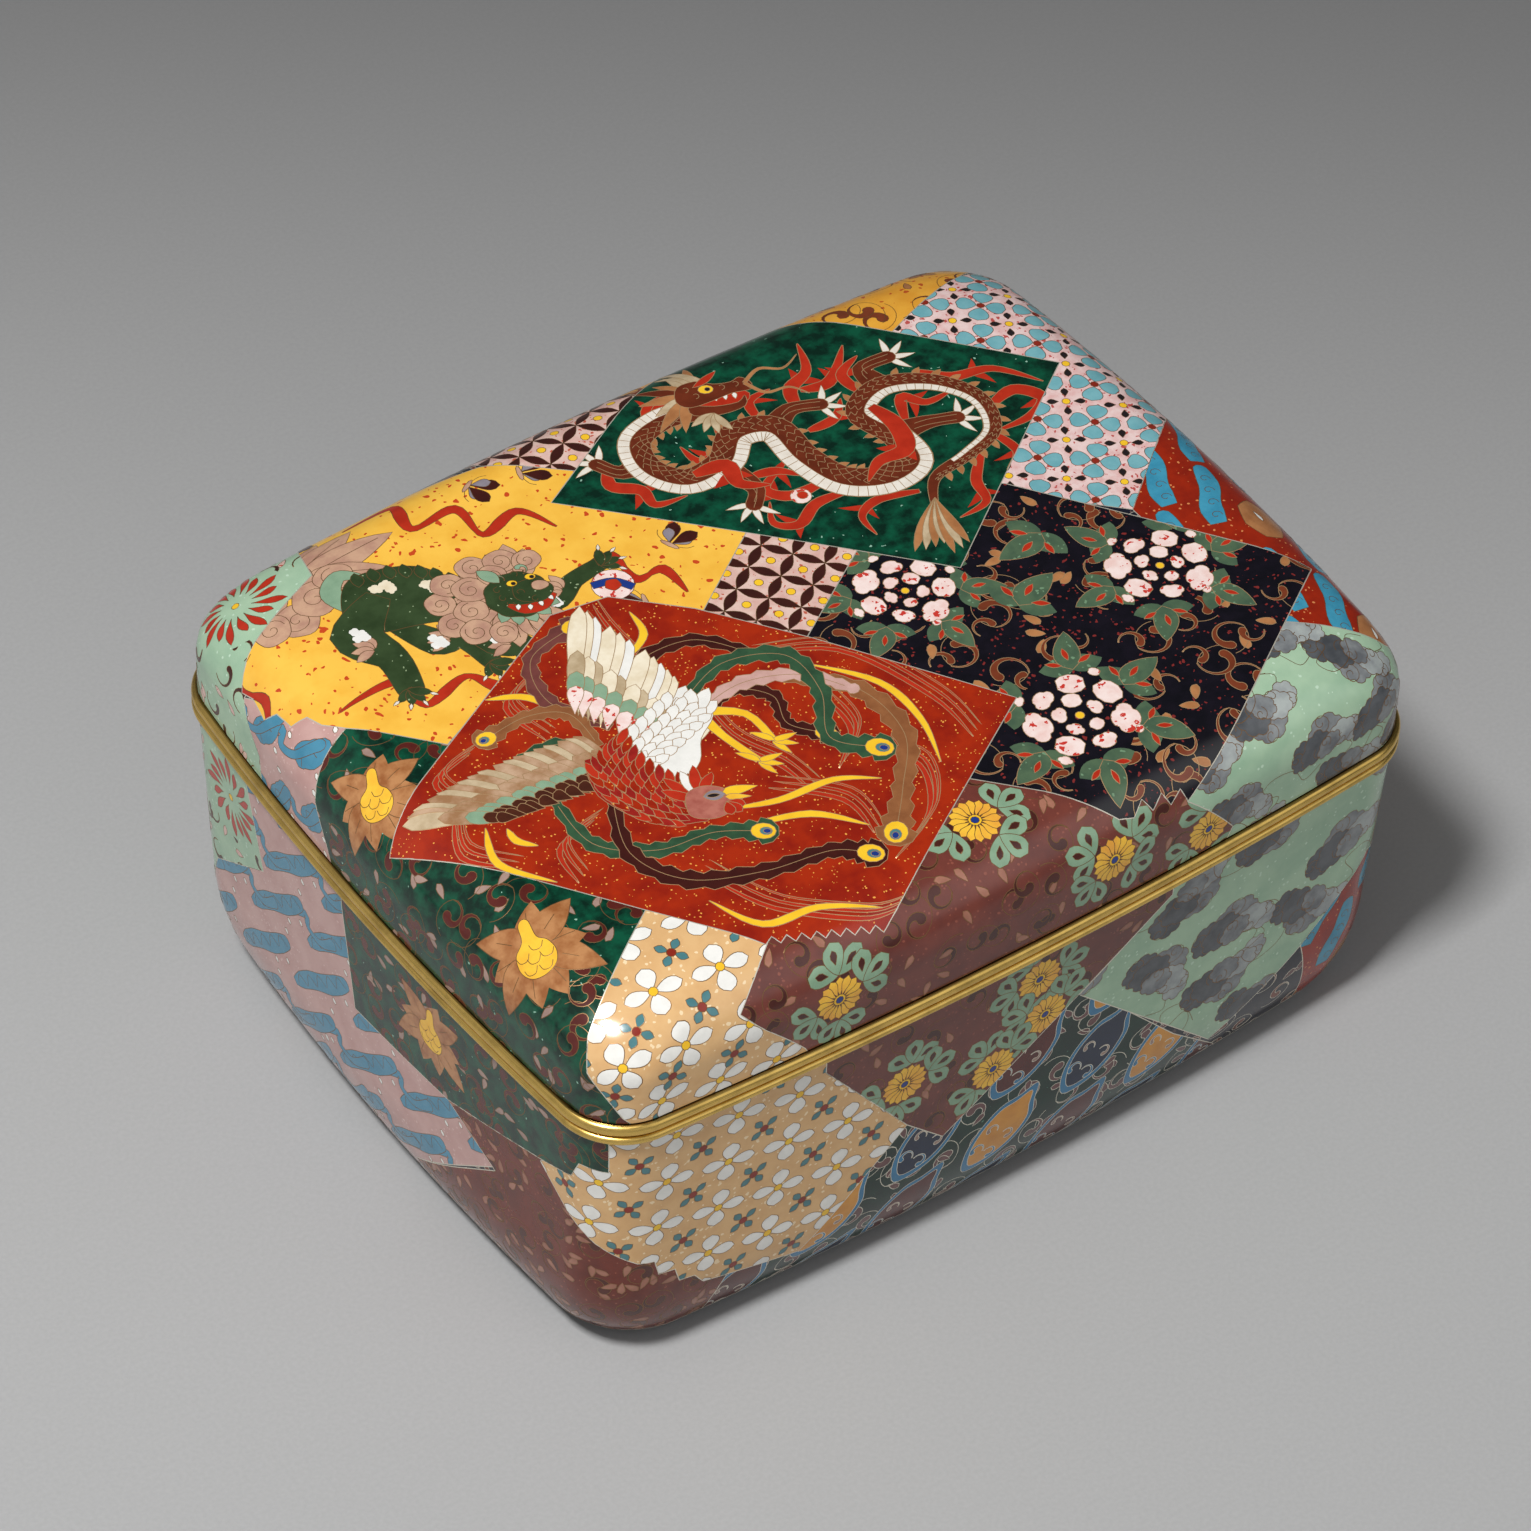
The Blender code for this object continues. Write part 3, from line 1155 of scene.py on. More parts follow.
class Marquetry:
    """Cuts a drawing into triangles that each lie in one cell."""

    # Why a triangle is not the patch's own
    CUT, OUTSIDE, OFF_BOARD = -2, -3, -4
    # The cutter keeps only what lies inside outlines, and joins points nearer than this
    INSIDE_ONLY, JOIN = 1, 1e-5

    def __init__(self, drawing: Drawing, cutters: Iterable[Points]) -> None:
        """Gather the outlines that the triangles have to keep to.

        Args:
            drawing: The patch's drawing.
            cutters: Outlines of the patches that lie over it.
        """
        self.drawing = drawing
        self.places: list[tuple[float, float]] = []
        self.edges: list[tuple[int, int]] = []
        self.rings: list[list[int]] = []
        low, high = drawing.outline.min(0) - 1.0, drawing.outline.max(0) + 1.0
        for outline, _, _ in drawing.cells:
            self.rings.append(self.take(outline))
        for outline in cutters:
            outline = divide(np.asarray(outline, float), Drawing.EDGE_STEP)
            if (outline.max(0) > low).all() and (outline.min(0) < high).all():
                self.rings.append(self.take(outline if winding(outline) > 0 else outline[::-1]))
        self.orders: list[int] = []
        for line, order in drawing.lines:
            ids = self.take(line)
            self.edges += zip(ids, ids[1:])
            self.orders += [order] * (len(ids) - 1)
        for line in drawing.chart.creases():
            keep = ((line[:-1] < high) & (line[1:] > low)).all(1) | \
                   ((line[1:] < high) & (line[:-1] > low)).all(1)
            ids = self.take(line)
            self.edges += [pair for pair, used in zip(zip(ids, ids[1:]), keep) if used]

    def take(self, points: Points) -> list[int]:
        """Note points and return their numbers.

        Args:
            points: The points.

        Returns:
            Their numbers.
        """
        first = len(self.places)
        self.places += map(tuple, points.tolist())
        return list(range(first, len(self.places)))

    def tag(self, owners: Sequence[int]) -> int:
        """The topmost cell of a triangle, or why the patch doesn't have it.

        Args:
            owners: The outlines that the triangle lies in.

        Returns:
            The cell's number, or CUT, OUTSIDE or OFF_BOARD.
        """
        owned = set(owners)
        if 0 not in owned:
            return self.OFF_BOARD
        if 1 not in owned:
            return self.OUTSIDE
        top = max(owned)
        return top if top < len(self.drawing.cells) else self.CUT

    def cut(self) -> Cells:
        """Cut the drawing.

        Returns:
            Its triangles and wires.
        """
        points, edges, faces, _, edge_from, face_from = delaunay_2d_cdt(
            [Vector(place) for place in self.places], self.edges, self.rings,
            self.INSIDE_ONLY, self.JOIN, True)
        made = Cells(np.array([point[:] for point in points]))
        beside: dict[tuple[int, int], list[int]] = {}
        for corners, owners in zip(faces, face_from):
            tag = self.tag(owners)
            count = len(corners)
            for index in range(count):
                pair = corners[index], corners[(index + 1) % count]
                beside.setdefault((min(pair), max(pair)), []).append(tag)
            if tag >= 0:
                made.triangles.append(tuple(corners))
                made.enamels.append(self.drawing.cells[tag][1])
        wired, border = set(), set()
        for pair, tags in beside.items():
            low, high = (min(tags), max(tags)) if len(tags) > 1 else (self.OUTSIDE, tags[0])
            if high < 0 or low == high:
                continue
            if low >= 0 and self.drawing.cells[high][2]:
                wired.add(pair)
            elif low == self.OUTSIDE:
                border.add(pair)
        for pair, sources in zip(edges, edge_from):
            orders = [self.orders[source] for source in sources if source < len(self.orders)]
            pair = (min(pair), max(pair))
            tags = beside.get(pair, [self.OUTSIDE])
            if orders and min(tags) >= 0 and max(tags) <= max(orders):
                wired.add(pair)
        made.wires, made.borders = self.chain(wired), self.chain(border)
        return made

    @staticmethod
    def chain(pairs: set[tuple[int, int]]) -> list[list[int]]:
        """Join wire pieces end to end as far as no third one meets them.

        Args:
            pairs: Pieces as pairs of points.

        Returns:
            Runs of points.
        """
        links: dict[int, list[int]] = {}
        for first, second in sorted(pairs):
            links.setdefault(first, []).append(second)
            links.setdefault(second, []).append(first)
        left = set(pairs)
        runs = []

        def follow(start: int, after: int) -> list[int]:
            """Walk on from a piece until a fork, an end or a closed ring.

            Args:
                start: The piece's first place.
                after: Its second place.

            Returns:
                The places walked over.
            """
            run = [start, after]
            left.discard((min(start, after), max(start, after)))
            while len(links[run[-1]]) == 2:
                ahead = [place for place in links[run[-1]]
                         if (min(place, run[-1]), max(place, run[-1])) in left]
                if not ahead:
                    break
                left.discard((min(ahead[0], run[-1]), max(ahead[0], run[-1])))
                run.append(ahead[0])
            return run

        for start in sorted(links):
            if len(links[start]) != 2:
                runs += [follow(start, after) for after in links[start]
                         if (min(start, after), max(start, after)) in left]
        for pair in sorted(pairs):
            if pair in left:
                runs.append(follow(*pair))
        return runs


def link_piece(name: str, mesh: Mesh) -> Object:
    """Put a finished mesh in the scene as a piece of the part.

    Args:
        name: The piece's name.
        mesh: Its mesh, in metres and in place.

    Returns:
        The piece.
    """
    piece = bpy.data.objects.new(name, mesh)
    bpy.context.scene.collection.objects.link(piece)
    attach(piece, "root")
    log.info("%s: %d faces", name, len(mesh.polygons))
    return piece


class EnamelSkin:
    """The patches of one shell, each a thin sheet of glass cells, and their wires."""

    # How far a patch's edge is turned down, in millimetres
    SKIRT = 0.12
    # The most triangles in one piece of wires, and the shortest step along a wire
    WIRE_FACES = 170000
    NEAR = 0.10

    def __init__(self, name: str, chart: Chart, patches: Sequence[Patch],
                 materials: dict[str, Material]) -> None:
        """Keep what the skin is made of.

        Args:
            name: Starts the pieces' names.
            chart: The shell's board.
            patches: Its patches, later over earlier.
            materials: The enamels' and wires' materials by name.
        """
        self.name, self.chart, self.patches, self.materials = name, chart, patches, materials
        self.runs: dict[Metal, list[tuple[Points, Points, float]]] = {
            metal: [] for metal in Metal}

    def build(self) -> None:
        """Make every patch and then the wires."""
        for index, patch in enumerate(self.patches):
            cutters = [np.asarray(later.outline, float) for later in self.patches[index + 1:]]
            cells = Marquetry(patch.drawn(self.chart), cutters).cut()
            if cells.triangles:
                self.lay_patch(patch, cells)
        for metal, runs in self.runs.items():
            self.lay_wires(metal, runs)

    def lay_patch(self, patch: Patch, cells: Cells) -> None:
        """Lay a patch's cells on the shell.

        Args:
            patch: The patch.
            cells: Its triangles and wires.
        """
        used = sorted({corner for corners in cells.triangles for corner in corners})
        number = {corner: index for index, corner in enumerate(used)}
        place, normal = self.chart.lay(cells.flat)
        for runs, metal, width in ((cells.wires, patch.cloth.metal, WIRE_WIDTH),
                                   (cells.borders, Metal.SILVER, BORDER_WIDTH)):
            self.runs[metal] += [(place[run], normal[run], width) for run in runs]
        place, normal, flat = place[used], normal[used], cells.flat[used]
        mesh = bpy.data.meshes.new(f"{self.name}_{patch.name}")
        mesh.from_pydata((place - normal * ENAMEL_FACE) * MM, [],
                         [[number[corner] for corner in corners] for corners in cells.triangles])
        names = sorted(set(cells.enamels))
        for enamel in names:
            mesh.materials.append(self.materials[enamel])
        mesh.polygons.foreach_set("material_index", [names.index(one) for one in cells.enamels])
        self.map_board(mesh, flat)
        count = len(mesh.polygons)
        self.close_edge(mesh, normal)
        self.set_normals(mesh, normal, count)
        link_piece(mesh.name, mesh)

    @staticmethod
    def map_board(mesh: Mesh, flat: Points) -> None:
        """Give the patch its place on the board as a UV map.

        Args:
            mesh: The mesh.
            flat: Where each point lies on the board.
        """
        low = flat.min(0)
        span = (flat.max(0) - low).max()
        corner = np.empty(len(mesh.loops), int)
        mesh.loops.foreach_get("vertex_index", corner)
        layer = mesh.uv_layers.new(name="OFBake")
        places = MAP_MARGIN + (1 - 2 * MAP_MARGIN) * (flat[corner] - low) / span
        layer.uv.foreach_set("vector", places.ravel())

    def close_edge(self, mesh: Mesh, normal: Points) -> None:
        """Turn the patch's edge down to the copper.

        Args:
            mesh: The mesh.
            normal: The direction outwards at each point.
        """
        sheet = bmesh.new()
        sheet.from_mesh(mesh)
        edge = [side for side in sheet.edges if side.is_boundary]
        before = {vert.co.copy().freeze(): vert.index for side in edge for vert in side.verts}
        made = bmesh.ops.extrude_edge_only(sheet, edges=edge)["geom"]
        for vert in made:
            if isinstance(vert, BMVert):
                down = normal[before[vert.co.copy().freeze()]]
                vert.co -= Vector(down) * (self.SKIRT * MM)
        sheet.to_mesh(mesh)
        sheet.free()

    @staticmethod
    def set_normals(mesh: Mesh, normal: Points, count: int) -> None:
        """Shade the face by the shell's true curve and the turned edge by its own.

        Args:
            mesh: The patch's mesh.
            normal: The normal of each vertex of its face.
            count: How many polygons the face has.
        """
        corner = np.empty(len(mesh.loops), int)
        mesh.loops.foreach_get("vertex_index", corner)
        first = np.empty(len(mesh.polygons), int)
        mesh.polygons.foreach_get("loop_start", first)
        shading = np.zeros((len(corner), 3))
        face_loops = first[count] if count < len(first) else len(corner)
        shading[:face_loops] = normal[corner[:face_loops]]
        mesh.polygons.foreach_set("use_smooth", [True] * len(mesh.polygons))
        mesh.normals_split_custom_set(shading.tolist())

    def lay_wires(self, metal: Metal, runs: list[tuple[Points, Points, float]]) -> None:
        """Bed one metal's wires in the enamel.

        Args:
            metal: The metal.
            runs: Each wire's places, the shell's normals there and its width.
        """
        places, faces, part = [], [], 1
        count = 0
        for place, normal, width in runs:
            keep = [0]
            for index in range(1, len(place)):
                far = np.linalg.norm(place[index] - place[keep[-1]]) > self.NEAR
                if far or index == len(place) - 1:
                    keep.append(index)
            if len(keep) < 2:
                continue
            place, normal = place[keep], normal[keep]
            side = unit(np.cross(normal, np.gradient(place, axis=0)))
            half, low = side * width / 2, normal * WIRE_SINK
            places.append(np.stack([place - half - low, place, place + half - low], 1))
            first = count + 3 * np.arange(len(place) - 1)[:, None]
            faces.append(np.concatenate([first + [0, 3, 4, 1], first + [1, 4, 5, 2]]))
            count += 3 * len(place)
            # Three points at each place, and four triangles on the way to the next
            if count * 4 / 3 > self.WIRE_FACES:
                self.link_wires(metal, part, places, faces)
                places, faces, count, part = [], [], 0, part + 1
        if places:
            self.link_wires(metal, part, places, faces)

    def link_wires(self, metal: Metal, part: int, places: list[Points],
                   faces: list[Points]) -> None:
        """Make one piece of many wires.

        Args:
            metal: The wires' metal.
            part: The piece's number.
            places: Each wire's points.
            faces: Each wire's faces.
        """
        mesh = bpy.data.meshes.new(f"{self.name}_{metal.value}_{part}")
        mesh.from_pydata(np.concatenate(places).reshape(-1, 3) * MM, [], np.concatenate(faces))
        mesh.shade_smooth()
        mesh.materials.append(self.materials[metal.value])
        link_piece(mesh.name, mesh)


def draw_tan(drawing: Drawing) -> None:
    """White cross-shaped flowers with small teal ones between them.

    Args:
        drawing: The patch's drawing.
    """
    for place, column, row in drawing.lattice((6.8, 6.3), turn=-9, reach=5):
        if (column + row) % 2:
            continue
        pen = drawing.pen(place, turn=-9)
        white = row % 2 == 0
        for quarter in range(4):
            leg = pen.move(turn=90 * quarter + (0 if white else 45))
            if white:
                size = (5.9, 3.0) if quarter % 2 == 0 else (5.0, 3.9)
                leg.cell(petal(*size, 0.4, 0.6, 0.62), "white")
            else:
                leg.cell(petal(3.4, 1.8, 0.4, 0.6, count=5), "teal")
        pen.cell(disc(1.9, 8), "yellow" if white else "madder")


def draw_lenses(drawing: Drawing) -> None:
    """Overlapping rings whose shared lenses are dark, with a yellow seed in each gap.

    Args:
        drawing: The patch's drawing.
    """
    for place, _, _ in drawing.lattice((6.6, 6.6), turn=34, reach=8):
        pen = drawing.pen(place, turn=34)
        pen.fan((0, 0), (0, 90), petal(6.6, 2.2, 0.0, 0.5, 1.15), "lens")
        pen.move((3.3, 3.3)).cell(disc(1.9, 8), "yellow")


def draw_turquoise(drawing: Drawing) -> None:
    """Broad turquoise flowers in rows with small black ones.

    Args:
        drawing: The patch's drawing.
    """
    for place, column, row in drawing.lattice((8.0, 8.0), turn=8, reach=7):
        broad = (column + row) % 2 == 0
        pen = drawing.pen(place, turn=8)
        for quarter in range(4):
            leg = pen.move(turn=(38 if broad else 52) + 90 * quarter)
            if broad:
                leg.cell(petal(5.1, 4.2, 0.9, 0.62, 0.45), "turquoise")
            else:
                leg.cell(petal(3.9, 1.5, 1.5, 0.6, 0.9, count=5), "coal")
        pen.cell(disc(1.7, 8), "madder" if broad else "yellow")


def scrolls(head: str, comma: str, pitch: float, size: float,
            commas: int = 1) -> Callable[[Drawing], None]:
    """Make the rule for a ground of vine scrolls.

    Args:
        head: The curling heads' enamel.
        comma: The small leaves' enamel.
        pitch: Distance between two heads.
        size: The heads' radius.
        commas: How many small leaves stand by each head.

    Returns:
        The rule that draws them on a patch.
    """
    def draw(drawing: Drawing) -> None:
        """Scatter curling heads, each on its thin stem, with small leaves beside it.

        Args:
            drawing: The patch's drawing.
        """
        for place, _, _ in drawing.lattice((pitch, pitch * 0.88), turn=23, jitter=0.17, skew=0.5):
            turn = float(drawing.random.uniform(0, 360))
            pen = drawing.pen(place, turn, flip=bool(drawing.random.random() < 0.5))
            pen.move(turn=180, flip=True).wire(curl(size * 1.9, 2.0, 0.7, 10))
            pen.cell(hook(size, 4.5, 0.78, 0.05), head)
            for step in range(commas):
                leaf = pen.move((size * (1.5 - step), -size * (0.45 + 0.3 * step)), -40 - 45 * step)
                leaf.cell(petal(3.5, 1.6, 0.0, 0.34, 0.8, 0.7, 5), comma)
    return draw


def draw_plain(drawing: Drawing) -> None:
    """Leave the ground bare."""


def set_chrysanthemums(drawing: Drawing, places: Rows) -> None:
    """Set chrysanthemums with their looped leaves.

    Args:
        drawing: The patch.
        places: The flowers' middles.
    """
    for index, place in enumerate(places):
        pen = drawing.pen(place, turn=37 * index)
        for step in range(4):
            stem = pen.move(turn=90 * step + 20 * (step % 2)).move((4.4, 0.0), 12)
            for side in (-62, 62, 0):
                loop = stem.move((1.0, 0.0), side)
                loop.cell(petal(6.6, 4.3, 0.0, 0.64, 0.5), "sage")
                loop.cell(petal(5.0, 1.4, 2.2, 0.6, count=4), "cocoa_dark")
        pen.fan((0, 0), np.arange(16) * 22.5, petal(5.1, 1.95, 1.0, 0.7, 0.62, count=5),
                "chrysanthemum")
        pen.cell(disc(2.7), "yellow")
        pen.cell(disc(1.7, 8), "blue")


def set_lotus(drawing: Drawing, place: Row, turn: float, size: float = 1.0) -> None:
    """Set a lotus with flame-shaped petals and a bud at its heart.

    Args:
        drawing: The patch.
        place: Its middle.
        turn: Which way it grows, in degrees.
        size: Its scale.
    """
    pen = drawing.pen(place, turn - 90, size)
    lengths = (10.5, 14.0, 10.0, 13.0, 10.5, 13.0, 10.0, 14.0, 10.5)
    for step, length in enumerate(lengths):
        way = -1 if step < 5 else 1
        leg = pen.move(turn=90 - 148 + 37 * step)
        leg.cell(petal(length, 6.6, 1.0, 0.4, 0.9, 3.0 * way, 9), "lotus", step % 2 == 1)
        leg.wire(np.array([[4.2, 0.2 * way], [6.5, 0.7 * way], [8.6, 1.2 * way]]))
    pen.cell(smooth(((-1.1, 6.6), (-1.5, 3.4), (-3.6, 1.4), (-4.0, -1.8), (-2.4, -4.2), (0.6, -4.8),
                     (3.2, -3.6), (4.1, -1.0), (3.2, 1.6), (1.5, 3.2), (1.1, 6.8), (0.0, 7.6)), True),
             "bud")
    for x, y in ((-1.8, -2.8), (1.4, -3.2), (-0.4, -1.0), (2.4, -0.8), (-2.4, 0.2), (0.9, 1.4)):
        pen.move((x, y)).wire(smooth([(-1.4, 0.8), (-0.9, -0.5), (0.6, -0.7), (1.4, 0.5)]))


def draw_peonies(drawing: Drawing) -> None:
    """Large golden-edged scrolls with small leaves on midnight.

    Args:
        drawing: The patch's drawing.
    """
    for place, _, _ in drawing.lattice((13.6, 10.8), turn=15, jitter=0.15, skew=0.5):
        flip = bool(drawing.random.random() < 0.5)
        pen = drawing.pen(place, float(drawing.random.uniform(0, 360)), flip=flip)
        pen.move(turn=170, flip=True).wire(curl(6.0, 1.6, 0.8, 9))
        pen.cell(hook(4.0, 3.9, 0.5, 0.05, 0.6, 16), "scroll")
        pen.move((-3.4, -2.0), 150, flip=True).cell(hook(2.7, 3.7, 0.6, 0.06, 0.6), "scroll")
        pen.leaf((5.4, -1.6), -30, "buff", 3.8, 1.9, 0.0, 0.4, 0.7, 0.9)


def set_leaf(pen: Pen, size: float) -> None:
    """Set a three-pointed leaf with a red heart in each lobe.

    Args:
        pen: The pen at the motif's place.
        size: The leaf's size.
    """
    for turn, length in ((66, 1.2), (-66, 1.2), (0, 1.8)):
        bend = 0.4 * size * (1 if turn > 0 else -1)
        pen.move(turn=turn).cell(
            petal(size * length, size * 1.05, -0.8, 0.42, 0.8, bend, 8), "leaf", turn == 0)
    pen.fan((0, 0), (66, -66, 0), petal(size, size * 0.24, size * 0.35, 0.5, count=4), "flame")


def set_peony(drawing: Drawing, place: Row, size: float, turn: float = 0.0) -> None:
    """Set a peony of loose uneven petals, with leaves.

    Args:
        drawing: The patch.
        place: Its middle.
        size: Its scale.
        turn: Its turn in degrees.
    """
    pen = drawing.pen(place, turn, size)
    pen.cell(lobed(13.0, 9, 0.12, steps=5), "midnight", False)
    for angle in (20, 95, 160, 215, 275, 330):
        set_leaf(pen.move(turn=angle).move((13.8, 0.0), 15), 5.6)
    for count, reach, length, width in ((4, 13.0, 2.2, 3.0), (7, 9.0, 5.4, 7.2), (5, 4.4, 3.9, 5.0)):
        for step in range(count):
            wave = 1 + 0.22 * math.sin(2.4 * step * count)
            leg = pen.move(turn=360 / count * (step + 0.5 * (count % 2))).move(
                (reach * (2 + wave) / 3, 0.0), 42 * math.sin(3.1 * step))
            scale = np.array((length, width)) / 2 * wave
            leg.cell(lobed(1.0, 2 + step % 3, 0.2, steps=6) * scale, "peony")
    pen.cell(disc(2.0), "yellow")


def draw_red_clouds(drawing: Drawing) -> None:
    """Stacked blue haze bars and small tan banks on cinnabar.

    Args:
        drawing: The patch's drawing.
    """
    for place, column, row in drawing.lattice((19.0, 9.4), turn=64, reach=10, skew=0.32):
        pen = drawing.pen(place, turn=64 + 6 * (row % 3))
        if (column + row) % 3 == 0:
            pen.cell(lobed(4.6, 7, 0.2, stretch=1.4, steps=3), "buff")
            pen.cell(petal(2.6, 1.0, -0.6, 0.4, bend=0.8), "white")
            continue
        pen.cell(ribbon(smooth([(-8, 0), (-3, 0.6), (3, -0.5), (8, 0)]), (3.4, 4.8, 4.2, 4.6, 3.6),
                        True), "haze")
        for x in (-5.6, -2.0, 1.6, 5.2):
            pen.move((x, -1.3)).wire(curl(1.3, 5.6, 0.25, 10))


def set_cloud(drawing: Drawing, pen: Pen) -> None:
    """Set a scalloped bank of cloud, dark at one end and pale at the other, with spirals.

    Args:
        drawing: The patch's drawing.
        pen: The pen at the motif's place.
    """
    long = float(drawing.random.uniform(0.9, 1.2))
    for x, y, size, enamel in ((-5.6, -1.2, 3.0, "cloud_dark"), (6.4, -1.4, 2.8, "cloud_pale"),
                               (0.2, 1.6, 3.6, "cloud_grey"), (3.8, -0.8, 3.0, "cloud_pale"),
                               (-2.6, -1.0, 3.4, "cloud_dark"), (0.8, -2.0, 2.6, "cloud_grey")):
        lobe = pen.move((x * long, y), 50 * x)
        lobe.cell(lobed(size, 7, 0.15, stretch=1.25, steps=4), enamel)
        lobe.wire(curl(0.6 * size, 7.6, 0.14, 16))


def draw_celadon_clouds(drawing: Drawing) -> None:
    """Grey cloud banks joined by winding wires on celadon.

    Args:
        drawing: The patch's drawing.
    """
    size = 1.25 if isinstance(drawing.chart, BodyChart) else 1.0
    for place, _, row in drawing.lattice((20.0 * size, 13.5 * size), turn=12, reach=12, jitter=0.18,
                                         skew=0.45):
        pen = drawing.pen(place, float(drawing.random.uniform(-50, 50)), size, flip=row % 2 == 0)
        pen.wire(smooth(((5, -3), (8, -6), (4, -9), (7, -12), (12, -10), (14, -5), (18, -6)), steps=5))
        set_cloud(drawing, pen)


def draw_pinwheel(drawing: Drawing) -> None:
    """Long dark commas and pale leaves on celadon; the wheel of red petals is set on its own, at given
    places.

    Args:
        drawing: The patch's drawing.
    """
    for place, column, row in drawing.lattice((9.4, 8.6), turn=10, jitter=0.14, skew=0.5):
        pen = drawing.pen(place, turn=float(drawing.random.uniform(0, 360)),
                          flip=(column + row) % 2 == 0)
        pen.cell(hook(2.9, 3.9, 0.44, 0.04, 0.55), "lens")
        pen.move((2.4, -1.8), 30).cell(petal(3.4, 1.6, 0.0, 0.4, bend=0.8, count=5), "blush")


def set_pinwheel(drawing: Drawing, place: Row) -> None:
    """Set a wheel of thin red petals.

    Args:
        drawing: The patch's drawing.
        place: The wheel's middle.
    """
    pen = drawing.pen(place)
    pen.cell(disc(22.0, 24), "celadon", False)
    for step in range(16):
        leg = pen.move(turn=22.5 * step)
        leg.cell(petal(10.0 - 1.6 * (step % 2), 1.9, 3.4, 0.66, 0.9, 1.2), "flame")
    pen.cell(disc(1.7, 8), "yellow")


def draw_bars(drawing: Drawing) -> None:
    """Rounded blue bars of haze, joined in steps, and white drops on pink.

    Args:
        drawing: The patch's drawing.
    """
    turn, reach, thick = -37.0, 3.6, 5.4
    if isinstance(drawing.chart, BodyChart):
        turn, reach, thick = 41.0, 13.0, 4.2
    for place, column, row in drawing.lattice((2 * reach + 13.0, thick + 4.2), turn=turn,
                                              reach=reach + 8, skew=0.41):
        pen = drawing.pen(place, turn)
        if (column + row) % 3:
            neck = smooth(((reach - 4, -1), (reach + 1.4, -2.2), (reach, -5), (reach + 3, -8.2),
                           (reach + 9, -8.4)), steps=5)
            pen.cell(ribbon(neck, (2.6, 2.2, 1.6, 1.8, 2.8), True), "bar_blue")
        line = smooth([(-reach, 0), (-reach / 3, 0.4), (reach / 3, -0.4), (reach, 0)])
        widths = thick * np.array((0.4, 0.9, 1.0, 1.0, 1.1, 1.04, 0.8))
        pen.cell(ribbon(line, widths, True), "bar_blue")
        for x in np.arange(3.4 - reach, reach, 5.0):
            pen.move((x, -thick / 3)).wire(smooth(((-2.3, 0.4), (0, 0.7 * thick), (2.3, 0.4)), steps=3))
        for x, y in ((-reach, thick), (0.3 * reach, -thick * 0.9), (reach + 3, thick * 0.6)):
            pen.move((x, y)).cell(oval(1.1, 1.6, count=6), "white")


def draw_ruyi(drawing: Drawing) -> None:
    """Leaf-shaped medallions in blue frames among mauve scrolls.

    Args:
        drawing: The patch's drawing.
    """
    scrolls("mauve", "mauve", 9.6, 3.0)(drawing)
    fills = ("maroon", "ruyi_gold", "ruyi_navy")
    for place, column, row in drawing.lattice((25.0, 16.0), turn=24, reach=12, skew=0.5):
        pen = drawing.pen(place, turn=48)
        leaf = smooth([(-11.6, 0), (-7.5, -4.4), (-1.5, -6.2), (5.0, -5.4), (8.6, -2.6), (12.4, 0),
                       (8.6, 2.6), (5.0, 5.4), (-1.5, 6.2), (-7.5, 4.4)], True, 4)
        pen.cell(leaf, "ruyi_blue")
        pen.cell(leaf * 0.84, fills[(column + 2 * row) % 3])
        for side in (-1, 1):
            arm = pen.move((-5.4, 0.3 * side), 8 * side, flip=side < 0)
            arm.cell(hook(2.0, 4.0, 0.6), "ruyi_blue")
            arm.move((5.4, 0.0)).cell(hook(1.7, 4.0, 0.6), "comma")


def set_eye(pen: Pen, size: float) -> None:
    """Set the round eye at the end of a tail feather.

    Args:
        pen: The pen at the motif's place.
        size: The eye's size.
    """
    pen = pen.move(size=size)
    pen.cell(oval(4.8, 4.0, (0.4, 0.0), 12), "yellow")
    pen.cell(oval(2.4, 2.0, (0.9, 0.0)), "teal")
    pen.cell(oval(1.5, 1.2, (1.1, 0.0), 8), "blue")


def set_plume(pen: Pen, points: Rows, enamel: str, width: float,
              eye: float) -> None:
    """Set a barbed tail feather with a rib, which broadens to an eye at its end.

    Args:
        pen: The bird's pen.
        points: The feather's middle line, from the body.
        enamel: Its enamel.
        width: Its greatest width.
        eye: The eye's scale, 0 for none.
    """
    middle = smooth(points, steps=9)
    end = 1.5 if eye else 0.7
    pen.cell(ribbon(middle, np.array((0.5, 0.9, 1.05, 0.9, 0.85, end)) * width, True, 0.34), enamel)
    pen.wire(middle[2:-2])
    if eye:
        set_eye(pen.move(middle[-1], heading(middle[-3:])), eye)


